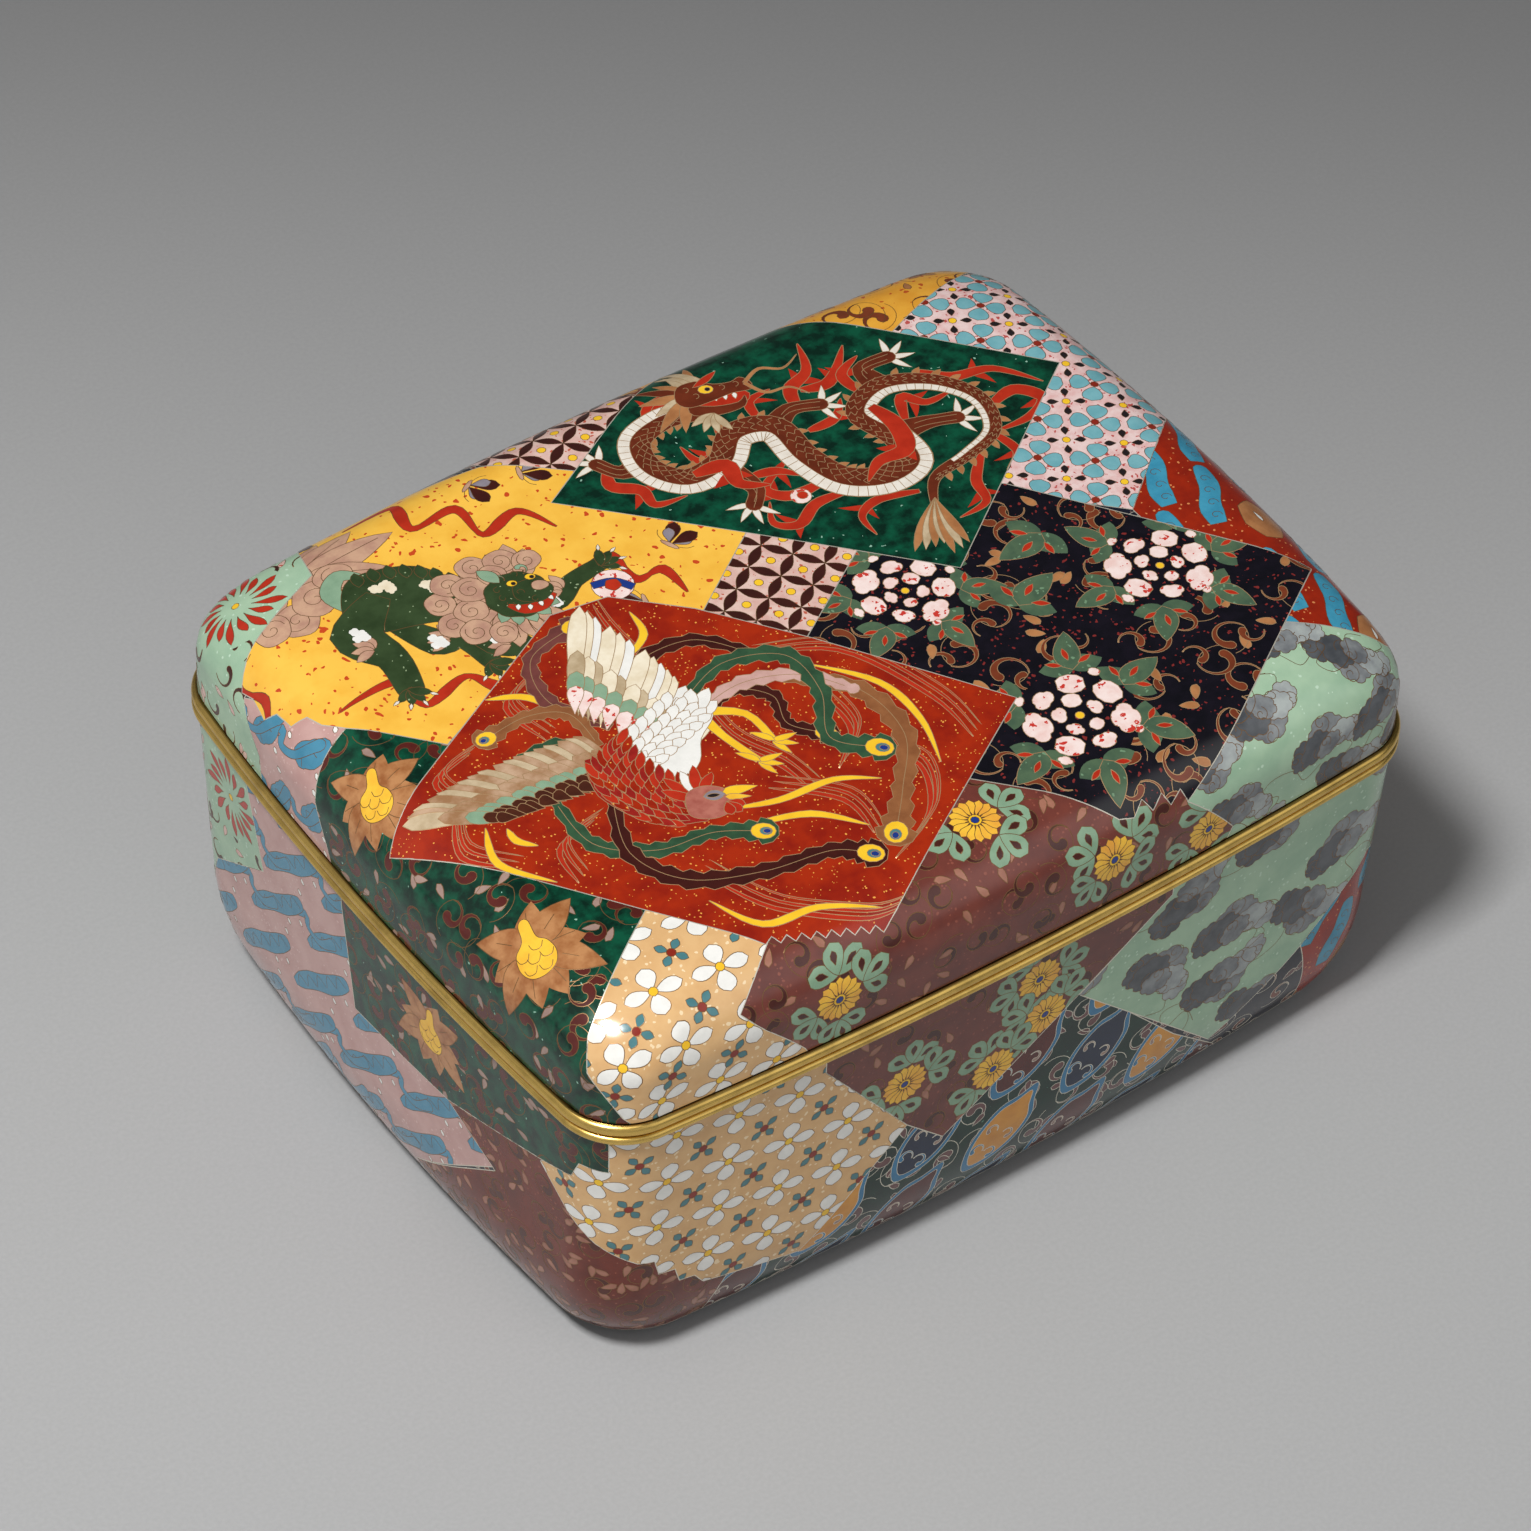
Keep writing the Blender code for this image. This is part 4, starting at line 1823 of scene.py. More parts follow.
def set_wing(pen: Pen, bone: Rows, turns: tuple[float, float],
             rows: Sequence[tuple[int, float, float, float, Sequence[str]]]) -> None:
    """Set a wing: rows of feathers along its bone, the longest first.

    Args:
        pen: The bird's pen.
        bone: The line from the shoulder to the wing's wrist.
        turns: The feathers' direction at the shoulder and at the wrist, in degrees.
        rows: Each row's count, length at the shoulder and at the wrist, width and enamels.
    """
    line = smooth(bone, steps=10)
    for count, near, far, width, enamels in rows:
        for index in range(count):
            share = index / (count - 1)
            feather = pen.move(line[round(share * (len(line) - 1))],
                               turns[0] + (turns[1] - turns[0]) * share)
            length = near + (far - near) * share
            feather.cell(petal(length, width, -1.0, 0.74, 0.45, -0.05 * length, 12),
                         enamels[index % len(enamels)])


def set_wisp(pen: Pen, points: Rows, enamel: str, width: float) -> None:
    """Set a thin curving streamer that tapers at both ends."""
    pen.cell(ribbon(smooth(points, steps=6), np.array((0.1, 0.8, 1.0, 0.7, 0.1)) * width), enamel)


REDS = "flame", "crimson", "vermilion"


def set_bird_head(pen: Pen) -> None:
    """Set the bird's crested head, with its open beak and wattles.

    Args:
        pen: The pen at the motif's place.
    """
    head = pen.move((1.0, -8.0), 14)
    for turn, length, enamel in ((150, 9.0, "flame"), (128, 8.0, "white"), (108, 8.4, "flame"),
                                 (86, 6.5, "flame"), (172, 8.0, "flame")):
        head.leaf((-0.6, 0.8), turn, enamel, length, 2.4, 0.0, 0.6, 0.7, -2.2)
    head.cell(smooth(((-4.4, -1), (-3.6, 2.6), (-0.4, 3.9), (3.2, 2.8), (4.6, 0.2), (3.6, -3.2),
                      (0.2, -4.6), (-3.6, -3.6)), True), "cheek")
    head.leaf((3.6, 1.6), 8, "yellow", 6.2, 2.4, -0.8, 0.3, 0.9, -0.3)
    head.leaf((3.6, 0.4), -8, "bud", 4.6, 1.5, -0.4, 0.3, 0.9)
    for turn, length in ((-20, 3.6), (-50, 3.8), (-84, 3.4)):
        head.leaf((3.2, -0.8), turn, "flame", length, 2.2, 0.0, 0.62, 0.6)
    head.cell(petal(2.6, 2.6, -1.6, 0.5, 0.7) + [0.8, 1.2], "lilac")
    head.cell(petal(1.6, 1.0, -1.0, 0.5, 0.7) + [0.8, 1.2], "coal")


def draw_bird(drawing: Drawing) -> None:
    """A long-tailed bird in flight, wings raised, its eyed plumes streaming round it.

    Args:
        drawing: The patch's drawing.
    """
    pen = drawing.pen((-40.0, -25.0), FIGURE_TURN)
    # Wisps of cloud, each three streamers thick
    for points in (((6, 30), (24, 33), (42, 22), (50, 12)), ((-4, 20), (4, 8), (14, 2), (20, -4)),
                   ((22, 20), (27, 12), (25, 2)), ((-46, -14), (-44, -24), (-34, -27)),
                   ((0, -26), (14, -34), (30, -34), (38, -30)), ((-34, 22), (-38, 14), (-30, 6)),
                   ((-12, 24), (-20, 34), (-24, 41)), ((30, 8), (40, 4), (42, -8), (36, -20)),
                   ((-20, -14), (-26, -22), (-22, -30)), ((12, -4), (26, -6), (32, -14)),
                   ((-44, 2), (-50, -6), (-44, -12))):
        for shift in (0.0, 1.7, 3.2):
            set_wisp(pen, np.array(points) + [0.5 * shift, shift], "flame", 1.1 - 0.2 * shift)
    # Yellow streamers
    for points in (((4, -10), (14, -7), (24, -1), (33, 0)), ((8, -14), (20, -10), (31, -12)),
                   ((2, -33), (12, -38), (22, -33), (34, -31)), ((-40, -17), (-37, -26), (-26, -30)),
                   ((18, 29), (32, 25), (40, 16), (44, 5)), ((-42, 16), (-34, 17), (-26, 12)),
                   ((-16, 28), (-13, 35), (-16, 41)), ((-36, -17), (-34, -20), (-30, -21))):
        set_wisp(pen, points, "yellow", 1.7)
    # Tail plumes
    for enamel, width, eye, points in (
            ("tail_maroon", 4.4, 0.0, ((-18, 13), (-15, 26), (-4, 34), (8, 31))),
            ("tail_mauve", 4.2, 0.9, ((-18, 10), (-30, 16), (-34, 27), (-27, 36))),
            ("tail_tan", 4.0, 0.9, ((-20, 5), (-26, 13), (-34, 12), (-41, 6))),
            ("tail_green", 4.0, 0.0, ((-18, 2), (-28, 5), (-36, -1))),
            ("tail_maroon", 4.0, 0.9, ((0, 14), (4, 21), (12, 20), (15, 13), (22, 11))),
            ("tail_tan", 5.4, 1.15, ((14, 25), (28, 23), (37, 12), (37, -2), (36, -13))),
            ("tail_pink", 4.2, 0.0, ((-2, 15), (6, 23), (17, 26), (27, 23))),
            ("tail_green", 5.0, 1.15, ((-5, 17), (2, 28), (14, 31), (21, 22), (23, 10), (32, 8))),
            ("tail_green", 4.6, 1.0, ((-28, -9), (-20, -20), (-8, -21), (2, -16), (11, -15))),
            ("tail_maroon", 5.0, 1.1, ((-17, -8), (-13, -22), (-2, -28), (12, -25), (24, -19),
                                       (31, -19)))):
        set_plume(pen, points, enamel, width, eye)
    # Far and near wing
    set_wing(pen, ((-14, -3), (-24, -8), (-35, -14)), (140, 186), (
        (18, 15.0, 21.0, 3.6, ("wing_brown", "feather")), (14, 10.0, 14.0, 3.4, ("wing_brown",)),
        (13, 6.8, 9.0, 3.4, ("sage",)), (14, 4.8, 5.6, 2.8, ("scale_brown",)),
        (12, 2.8, 3.2, 2.8, ("scale_brown",))))
    set_wing(pen, ((-6, 1), (-14, 7), (-25, 14)), (66, 94), (
        (17, 14.0, 28.0, 3.7, ("cream", "cream", "white")), (14, 9.0, 16.0, 3.4, ("cream", "feather")),
        (11, 7.5, 10.5, 3.4, ("sage",)), (11, 5.0, 6.6, 3.2, ("peony",))))
    # Legs, then the white feathers of the breast
    for foot, knee in (((10.0, 3.0), (3.0, 9.0)), ((12.5, 8.5), (7.0, 15.0))):
        pen.cell(ribbon(smooth(((-2, 15), knee, foot), steps=4), (2.6, 1.7, 1.6)), "yellow")
        pen.fan(foot, (-52, -18, 16, 150), petal(4.8, 1.5, -0.4, 0.4, 0.8, 0.9, 5), "yellow")
    pen.cell(smooth(((-14, 0), (-12, 6), (-8, 11), (-4, 17), (-1, 19), (1, 14), (-1, 8), (-1, 2),
                     (-4, -3), (-10, -5)), True), "white")
    for turn, length in ((50, 8), (70, 10), (90, 9), (112, 7)):
        pen.leaf((-3.5, 12), turn, "white", length, 3.2, 0.0, 0.6, 0.7)
    for row in range(7):
        for column in range(-2, 3):
            place = (-4.0 - 1.5 * row + 1.4 * column - 0.3 * column ** 2,
                     14.0 - 2.2 * row - 1.0 * column)
            pen.leaf(place, 62 - 12 * column, "white", 4.0, 2.4, -1.0, 0.55, 0.6, 0.0, 5)
    # Back and neck with their scales
    neck = smooth(((-19, 3), (-15, -4), (-8, -9), (-1, -10)), steps=7)
    pen.cell(ribbon(neck, (8, 12, 11, 7.4), True), "crimson")
    for column in range(10):
        for row in range(-3, 4):
            place = neck[20 - 2 * column] + [0.6 * row, 1.5 * row]
            pen.move(place, 138 - 5 * column - 9 * row).cell(
                petal(4.4, 1.9, -0.6, 0.5, 0.7, 0.3, 4), REDS[(column + row) % 3])
    set_bird_head(pen)


def set_flames(pen: Pen, points: Rows, width: float) -> None:
    """Set a long tongue of flame along a curve, with a short one that forks off it.

    Args:
        pen: The pen at the motif's place.
        points: The curve's points.
        width: The tongue's width.
    """
    middle = smooth(points, steps=6)
    fork = len(middle) // 2
    turn = heading(middle[fork:fork + 2])
    for side in (False, True):
        pen.move(middle[fork], turn + (-38 if side else 38), flip=side).cell(
            petal(5.4 if side else 3.6, width * 0.8, -1.0, 0.34, 0.9, 1.9), "flame", False)
    pen.cell(ribbon(middle, width * np.array((0.5, 1.0, 1.1, 0.85, 0.6, 0.08))), "flame")


# The dragon's flames, each its width and its line
FLAMES = (
    (2.8, (-4, 6), (-6, 12), (-3, 18), (-5, 26)), (2.6, (-4, 12), (1, 14), (3, 19), (4, 26)),
    (2.4, (19, 19), (26, 18), (34, 21), (44, 18)),
    (2.8, (33, 9), (38, 15), (44, 13), (41, 7), (34, 2)),
    (2.2, (32, -4), (31, -12), (33, -18), (28, -23)),
    (2.0, (20, -16), (12, -19), (9, -24), (12, -29)),
    (2.4, (6, -17), (0, -21), (-3, -27), (-8, -27), (-9, -21)),
    (2.6, (2, -14), (-5, -19), (-10, -17), (-6, -9)),
    (2.8, (-41, -12), (-40, -18), (-34, -19), (-31, -23), (-25, -20)),
    (2.6, (-20, 0), (-18, -6), (-23, -10), (-27, -6)), (2.0, (-33, -1), (-34, 5), (-30, 10)),
    (2.4, (17, 4), (16, 11), (21, 10), (26, 14)), (2.2, (-2, 0), (3, 4), (4, 10)),
    (2.2, (-13, -14), (-8, -12), (-3, -13)), (2.0, (34, 2), (39, -3), (37, -9)),
    (2.0, (-12, 3), (-14, 8), (-10, 12)), (2.4, (8, 12), (4, 17), (7, 23)))


LIMBS = (((12, 14), (8, 19), (13, 23)), ((16, 1), (21, 4), (27, 6)),
         ((-18, -12), (-12, -17), (-12, -22)), ((-9, 0), (-6, 6), (0, 8)),
         ((-33, -10), (-38, -14), (-43, -12)))


def set_dragon_head(pen: Pen) -> None:
    """Set the dragon's head, with its mane, horns, open jaws and whiskers.

    Args:
        pen: The pen at the motif's place.
    """
    head = pen.move((-22.5, 8.6), 14, 1.2)
    locks = ("buff", "feather", "buff", "dragon", "buff", "feather", "buff", "buff")
    for step, enamel in enumerate(locks):
        head.move((-2.6, 0.6), 76 + 24 * step).cell(
            petal(9.8 - 1.3 * (step % 3), 2.2, 0.0, 0.4, 0.9, 1.6), enamel)
    for apart in (0.0, 1.8):
        horn = smooth(((-1.6 + apart, 3.4), (-3.4, 6.4 + apart), (-7.0, 8.4 + apart * 2)), steps=4)
        head.cell(ribbon(horn, (1.9, 1.5, 0.4)), "feather")
    head.cell(smooth(((-2, 1), (6.6, 0.8), (6.2, -2.2), (0, -3)), True, 3), "flame")
    for x in (1.6, 3.2, 4.8):
        head.move((x, 0.7), -90).cell(petal(1.7, 0.9, 0.0, 0.4, count=3), "white")
    head.cell(smooth(((-3, -1.4), (1, -2.2), (5.0, -1.9), (6.4, -0.4), (6.0, -3.0), (1.6, -4.4),
                      (-2.8, -3.8)), True, 3), "dragon")
    head.cell(smooth(((-5, 0), (-4.2, 3.6), (-1, 4.6), (1.8, 3.3), (4.8, 3.3), (6.4, 4.2), (8.0, 2.8),
                      (7.8, 0.9), (4.5, 0.5), (1.0, -0.8), (-3, -1.8)), True, 3), "dragon")
    for x, y in ((-3, 2), (-1.6, 0.2), (3.0, 1.6), (5.4, 2.0)):
        head.move((x, y)).wire(curl(0.8, 4.0, 0.4, 8))
    head.cell(oval(2.6, 2.1, (0.4, 2.2), 10), "yellow")
    head.cell(oval(1.0, 1.0, (0.7, 2.2), 7), "coal")
    head.leaf((-0.6, 3.6), 30, "flame", 4.6, 1.5, -1.2, 0.5, 0.9, 0.8)
    head.fan((0.6, -3.8), (200, 228, 256, 284), petal(5.0, 1.5, 0.0, 0.5, 0.9, 1.0), "feather")
    for flip in (1, -1):
        head.cell(ribbon(smooth(((7, 2.6), (10, 2.6 + 3 * flip), (14, 2.6 + 2.4 * flip),
                                 (17, 3 + 5 * flip)), steps=5), (0.7, 0.6, 0.4, 0.1)), "buff")


def draw_dragon(drawing: Drawing) -> None:
    """A coiling scaled dragon among flames, with its round jewel.

    Args:
        drawing: The patch's drawing.
    """
    pen = drawing.pen((32.0, 38.6), FIGURE_TURN)
    for width, *points in FLAMES:
        set_flames(pen, points, width)
    # The body's middle line from the tail to the neck, and which way it runs
    path = smooth(((23, -20), (23, -12), (29, -5), (34, 3), (31, 12), (22, 16), (12, 14), (8, 6),
                   (15, 0), (19, -7), (14, -13), (5, -14), (-3, -8), (-9, 0), (-16, -2), (-18, -10),
                   (-25, -16), (-33, -13), (-36, -5), (-31, 2), (-24, 5)), steps=6)
    widths = np.array((1.4, 2.6, 3.4, 4.2, 5.0, 5.8, 6.6, 7.6,
                       8.2, 7.8, 7.6, 7.4, 7.2, 6.8, 6.4, 6.0))
    run = np.linspace(0.0, 1.0, len(path))
    half = np.interp(run, np.linspace(0.0, 1.0, len(widths)), widths)[:, None] / 2
    tangent = np.gradient(path, axis=0)
    tangent /= np.linalg.norm(tangent, axis=1, keepdims=True)
    side = np.stack([-tangent[:, 1], tangent[:, 0]], -1)
    headings = np.degrees(np.arctan2(tangent[:, 1], tangent[:, 0]))
    # Spines along the back
    for index in range(8, len(path) - 3, 2):
        pen.move(path[index] - side[index] * half[index] * 0.8, headings[index] - 118).cell(
            petal(2.5, 1.5, -0.5, 0.4, 0.9, count=4), "buff")
    for points in LIMBS:
        limb = smooth(points, steps=5)
        pen.fan(limb[-1], heading(limb[-3:]) + np.array((-72, -26, 20, 66)),
                petal(5.6, 1.5, 0.0, 0.4, 0.9, 1.1, 5), "belly")
        pen.cell(ribbon(limb, (6.6, 4.6, 3.2, 3.4), True), "dragon")
        for shift in (-0.8, 0.8):
            pen.wire(limb[3:] + [0.0, shift])
    pen.cell(ribbon(path, widths), "dragon")
    # The belly with its plates, then the scales
    under = path + side * half * 0.62
    pen.cell(ribbon(under[10:], widths[1:] * 0.36), "belly")
    for index in range(11, len(path) - 1):
        foot = path[index] + side[index] * half[index]
        pen.wire(np.array([foot, foot - side[index] * half[index] * 0.7]))
    for index in range(6, len(path) - 3):
        for row in ((-0.12, -0.62) if index % 2 else (-0.38, -0.85)):
            place = path[index] + side[index] * half[index] * row
            reach = half[index, 0] * 0.22
            pen.move(place, headings[index]).wire(
                smooth(((-0.5, reach), (0.6, 0.0), (-0.5, -reach)), steps=2))
    set_flames(pen, ((10, 8), (15, 3), (17, -4), (12, -8), (10, -14)), 3.8)
    set_flames(pen, ((-24, -14), (-18, -11), (-15, -16), (-9, -16)), 3.6)
    # The tuft at the tail's end
    for step in range(7):
        pen.move((23.0, -17.6), 252 + 7 * step).cell(
            petal(16.0 - (step * 5) % 4, 2.0, 0.0, 0.6, 0.8, 1.4), ("buff", "feather")[step % 2])
    set_dragon_head(pen)
    jewel = pen.move((-3.0, -19.0))
    jewel.cell(disc(4.2, 14), "peony")
    jewel.cell(oval(2.2, 2.2, (0.3, 0.3)), "flame")


def set_ribbon(pen: Pen, points: Rows) -> None:
    """Set a fluttering red ribbon."""
    middle = smooth(points, steps=8)
    pen.cell(ribbon(middle, (0.4, 1.6, 2.8, 1.3, 2.4, 1.1, 2.6, 1.6, 0.4)), "flame")


def set_butterfly(pen: Pen) -> None:
    """Set a small butterfly.

    Args:
        pen: The pen at the motif's place.
    """
    for side in (False, True):
        half = pen.move(flip=side)
        half.leaf((0.4, 0.2), 24, "tail_maroon", 6.0, 3.0, 0.0, 0.66, 0.7)
        half.leaf((0.4, -0.4), -34, "lilac", 4.2, 2.4, 0.0, 0.66, 0.7)
        half.wire(smooth(((0.2, 1.6), (1.0, 3.4), (2.2, 4.2)), steps=3))
    pen.cell(oval(1.1, 4.4, count=8), "mane")


def set_curls(pen: Pen, places: Rows) -> None:
    """Set locks of hair, each with a spiral wire in it.

    Args:
        pen: The beast's pen.
        places: Each lock's x, y and radius.
    """
    for x, y, size in places:
        lock = pen.move((x, y), 40 * x)
        lock.cell(lobed(size, 5, 0.1, stretch=1.1), "mane")
        lock.move((0.0, -size * 0.72)).wire(curl(size * 0.72, 8.6, 0.1, 20))


def set_leg(pen: Pen, points: Rows, thick: Row) -> None:
    """Set one of the lion's legs with its tufted joint and clawed paw.

    Args:
        pen: The pen at the motif's place.
        points: The leg's middle line.
        thick: Its widths from hip to paw.
    """
    leg = smooth(points, steps=5)
    pen.cell(ribbon(leg, thick, True), "lion")
    pen.move(leg[8], 150).fan((0, 0), (-30, 0, 30, 60), petal(5.0, 2.2, 0.6, 0.5, 0.8, 1.2, 5), "mane")
    paw = pen.move(leg[-1], heading(leg[-3:]))
    for turn in (-60, -22, 16, 54):
        toe = paw.move(turn=turn)
        toe.cell(petal(4.2, 2.2, -0.8, 0.5, 0.8, 0.4, 5), "lion")
        toe.move((3.6, 0.2)).cell(petal(1.8, 0.8, 0.0, 0.4, count=3), "belly")
    for x, y in ((0.6, 0.5), (-0.8, 0.9), (0.0, -0.9), (1.4, -0.4)):
        pen.move(leg[5] + [x, y]).cell(lobed(1.1, 4, 0.2, steps=4), "white", False)


def set_lion_head(pen: Pen) -> None:
    """Set the lion's head in its curly mane.

    Args:
        pen: The pen at the motif's place.
    """
    head = pen.move((13.6, 5.6), 14)
    for step in range(15):
        lock = head.move(turn=66 + 17 * step)
        lock.cell(petal(12.6 + 1.6 * (step % 2), 4.4, 3.0, 0.6, 0.7, 2.0), "mane")
        lock.wire(smooth(((6, 0.4), (9, 0.9), (11.6, 1.8)), steps=3))
    set_curls(pen, ((-1, 2, 3.0), (0, 7.4, 3.2), (2, -3.4, 3.2), (4.4, 12.4, 3.2), (5, 0.6, 3.2),
                    (4.4, 6.4, 3.4), (6.4, -5.0, 3.2), (9.6, 14.6, 3.2), (14.6, 15.2, 2.8),
                    (11.6, -4.8, 2.8), (8.4, 10.6, 2.8)))
    head.fan((0, 0), (-128, -104, -80, -56, -32), petal(8.4, 3.0, 2.0, 0.6, 0.8, 0.8, 6), "sage")
    head.cell(lobed(6.4, 9, 0.1, stretch=1.04), "lion")
    head.cell(ribbon(smooth(((-2.4, -2.6), (0.6, -4.2), (4.2, -3.6), (6.8, -0.8)), steps=4),
                     (0.8, 2.6, 2.8, 1.4)), "flame")
    for x, y, turn in ((-0.4, -2.6, -100), (1.8, -3.0, -95), (3.8, -2.4, -80), (5.6, -1.2, -60)):
        head.move((x, y), turn).cell(petal(1.7, 1.1, 0.0, 0.4, 0.8, count=3), "white")
    head.cell(lobed(3.4, 5, 0.12, stretch=1.2) + [3.0, 0.6], "lion")
    head.cell(lobed(1.4, 3, 0.2, stretch=1.3) + [4.6, 1.8], "mane")
    for x, y, turn in ((-0.6, 3.2, 130), (3.2, 4.4, 70)):
        head.cell(oval(2.2, 1.7, (x, y)), "yellow")
        head.cell(oval(0.9, 0.9, (x + 0.3, y - 0.1), 8), "coal")
        head.move((x - 1.2, y + 1.0), turn - 60).cell(hook(1.5, 3.8, 0.8), "sage")
    for x, y in ((1.4, 0.2), (3.4, -0.8), (-3.2, 0.4), (-2.4, -1.8), (-3.6, 2.8), (0.6, 5.0)):
        head.move((x, y), 50 * x).wire(curl(1.0, 4.6, 0.3, 9))
    head.leaf((-3.4, 4.6), 125, "sage", 4.6, 3.0, -1.0, 0.5, 0.8, 0.8)


def draw_lion(drawing: Drawing) -> None:
    """A curly-maned guardian lion at play with a ball, ribbons and butterflies.

    Args:
        drawing: The patch's drawing.
    """
    pen = drawing.pen((-57.0, 37.0), FIGURE_TURN)
    for points in (((-46, -2), (-40, -9), (-42, -15), (-35, -20), (-37, -27)),
                   ((-22, 24), (-13, 31), (-8, 23), (0, 29), (6, 22), (12, 29), (20, 25)),
                   ((-42, 12), (-37, 17), (-34, 10), (-40, 4), (-35, -2)),
                   ((18, -10), (12, -19), (5, -17), (-2, -25), (-8, -19), (-18, -27)),
                   ((26, 14), (31, 17), (36, 11), (41, 14), (46, 8)),
                   ((27, -1), (32, 3), (36, -2), (42, 1))):
        set_ribbon(pen, points)
    for x, y, turn in ((-34, 20, 30), (2, 36, -20), (38, 5, 200), (-42, -11, 80), (26, -7, 150),
                       (12, 40, 20), (42, 21, 60)):
        set_butterfly(pen.move((x, y), turn))
    # Bushy tail
    for turn, length in ((98, 15), (76, 20), (54, 24), (34, 19)):
        pen.leaf((-29.0, 5.0), turn, "mane", length, 8.0, 0.0, 0.42, 0.8, -4.2, 9)
        pen.move((-29.0, 5.0), turn).wire(smooth(((3, 0.6), (9, 0.0), (length - 3, -3.0)), steps=3))
    set_curls(pen, ((-35, 2, 4.6), (-31, 8, 5.0), (-28, -3, 4.4), (-25, 3, 4.8), (-33, -5, 4.0),
                    (-22, 9, 3.8)))
    pen.cell(ribbon(smooth(((-17, 1), (-22, 4), (-21, 9), (-16, 9)), steps=6), (5.4, 4.4, 3.4, 1.2)),
             "sage")
    # Far legs, trunk with its spots and the locks along its back, then the near legs
    set_leg(pen, ((-10, -3), (-1, -8), (4, -7), (10, -13)), (4, 7, 5, 4))
    set_leg(pen, ((10, 4), (20, 4), (24, 10), (29, 15)), (5, 6, 4.2, 3.6))
    pen.cell(smooth(((-20, 2), (-19, 8), (-13, 11.5), (-6, 12.5), (1, 10), (9, 12), (13, 6), (12, -2),
                     (6, -5), (0, -2.6), (-6, -4), (-12, -6), (-18, -4)), True), "lion")
    for x, y in ((-12, 7), (-13.6, 5.8), (-10.8, 6.2), (-4, 7.6), (-2.6, 6.8), (-1, 8.4), (-14, -1),
                 (-15.2, 0.2)):
        pen.move((x, y), 40 * x).cell(lobed(1.2, 5, 0.2, stretch=1.3, steps=4), "cream", False)
    for x in range(-17, 4, 3):
        pen.move((x, 10.2 - 0.03 * (x + 7) ** 2), 100).cell(
            petal(3.0, 2.6, -1.0, 0.5, 0.8, 0.6, 5), "lion")
    set_leg(pen, ((-13, 4), (-16, -7), (-9, -13), (-5, -21)), (5, 11, 6.6, 5.4))
    set_leg(pen, ((7, 4), (10, -6), (16, -9), (19, -15)), (5, 9, 5.6, 4.6))
    set_lion_head(pen)
    ball = pen.move((31.6, 9.2))
    ball.cell(disc(8.4, 18), "peony")
    ball.cell(ribbon(smooth(((-4.0, -0.6), (0.0, 1.0), (4.0, -0.4))), (1.9, 1.9)), "blue")
    ball.cell(lobed(1.7, 5, 0.35, steps=3), "flame")


SILVER, GILT, BRASS = Metal.SILVER, Metal.GILT, Metal.BRASS
TAN = Cloth("tan", BRASS, draw_tan)
LENSES = Cloth("blush", BRASS, draw_lenses)
TURQUOISE = Cloth("rose", BRASS, draw_turquoise)
BRICK = Cloth("brick", BRASS, scrolls("brick_dark", "brick_pale", 8.8, 2.9, 2))
NAVY = Cloth("navy", SILVER, scrolls("scroll", "mauve", 9.4, 2.6))
AMBER = Cloth("amber", BRASS, scrolls("scroll", "buff", 10.4, 3.2))
PINE = Cloth("pine", SILVER, scrolls("mauve", "comma", 9.6, 2.9))
COCOA = Cloth("cocoa", BRASS, scrolls("cocoa_dark", "brick_pale", 10.0, 2.8))
LOTUS = Cloth("emerald", BRASS, scrolls("maroon", "comma", 8.8, 2.9))
PEONIES = Cloth("midnight", GILT, draw_peonies)
RED_CLOUDS = Cloth("cinnabar", BRASS, draw_red_clouds)
CELADON = Cloth("celadon", BRASS, draw_celadon_clouds)
PINWHEEL = Cloth("celadon", BRASS, draw_pinwheel)
BARS = Cloth("pink", BRASS, draw_bars)
RUYI = Cloth("pine", SILVER, draw_ruyi)
BIRD_GROUND = Cloth("vermilion", GILT, draw_plain)
DRAGON_GROUND = Cloth("emerald", GILT, draw_plain)
LION_GROUND = Cloth("corn", BRASS, draw_plain)
BAND = Cloth("plum", SILVER, draw_plain)


def pinked(start: Row, end: Row, count: int, depth: float) -> list[Points]:
    """Cut small teeth into a patch's edge.

    Args:
        start: Where the teeth begin.
        end: Where they end.
        count: How many there are.
        depth: How far they reach into the patch, on the right of the edge.

    Returns:
        The toothed edge's points.
    """
    first, last = np.asarray(start, float), np.asarray(end, float)
    along = (last - first) / (2 * count)
    inward = depth * np.array([along[1], -along[0]]) / np.linalg.norm(along)
    return [first + along * step + inward * (step % 2) for step in range(2 * count + 1)]


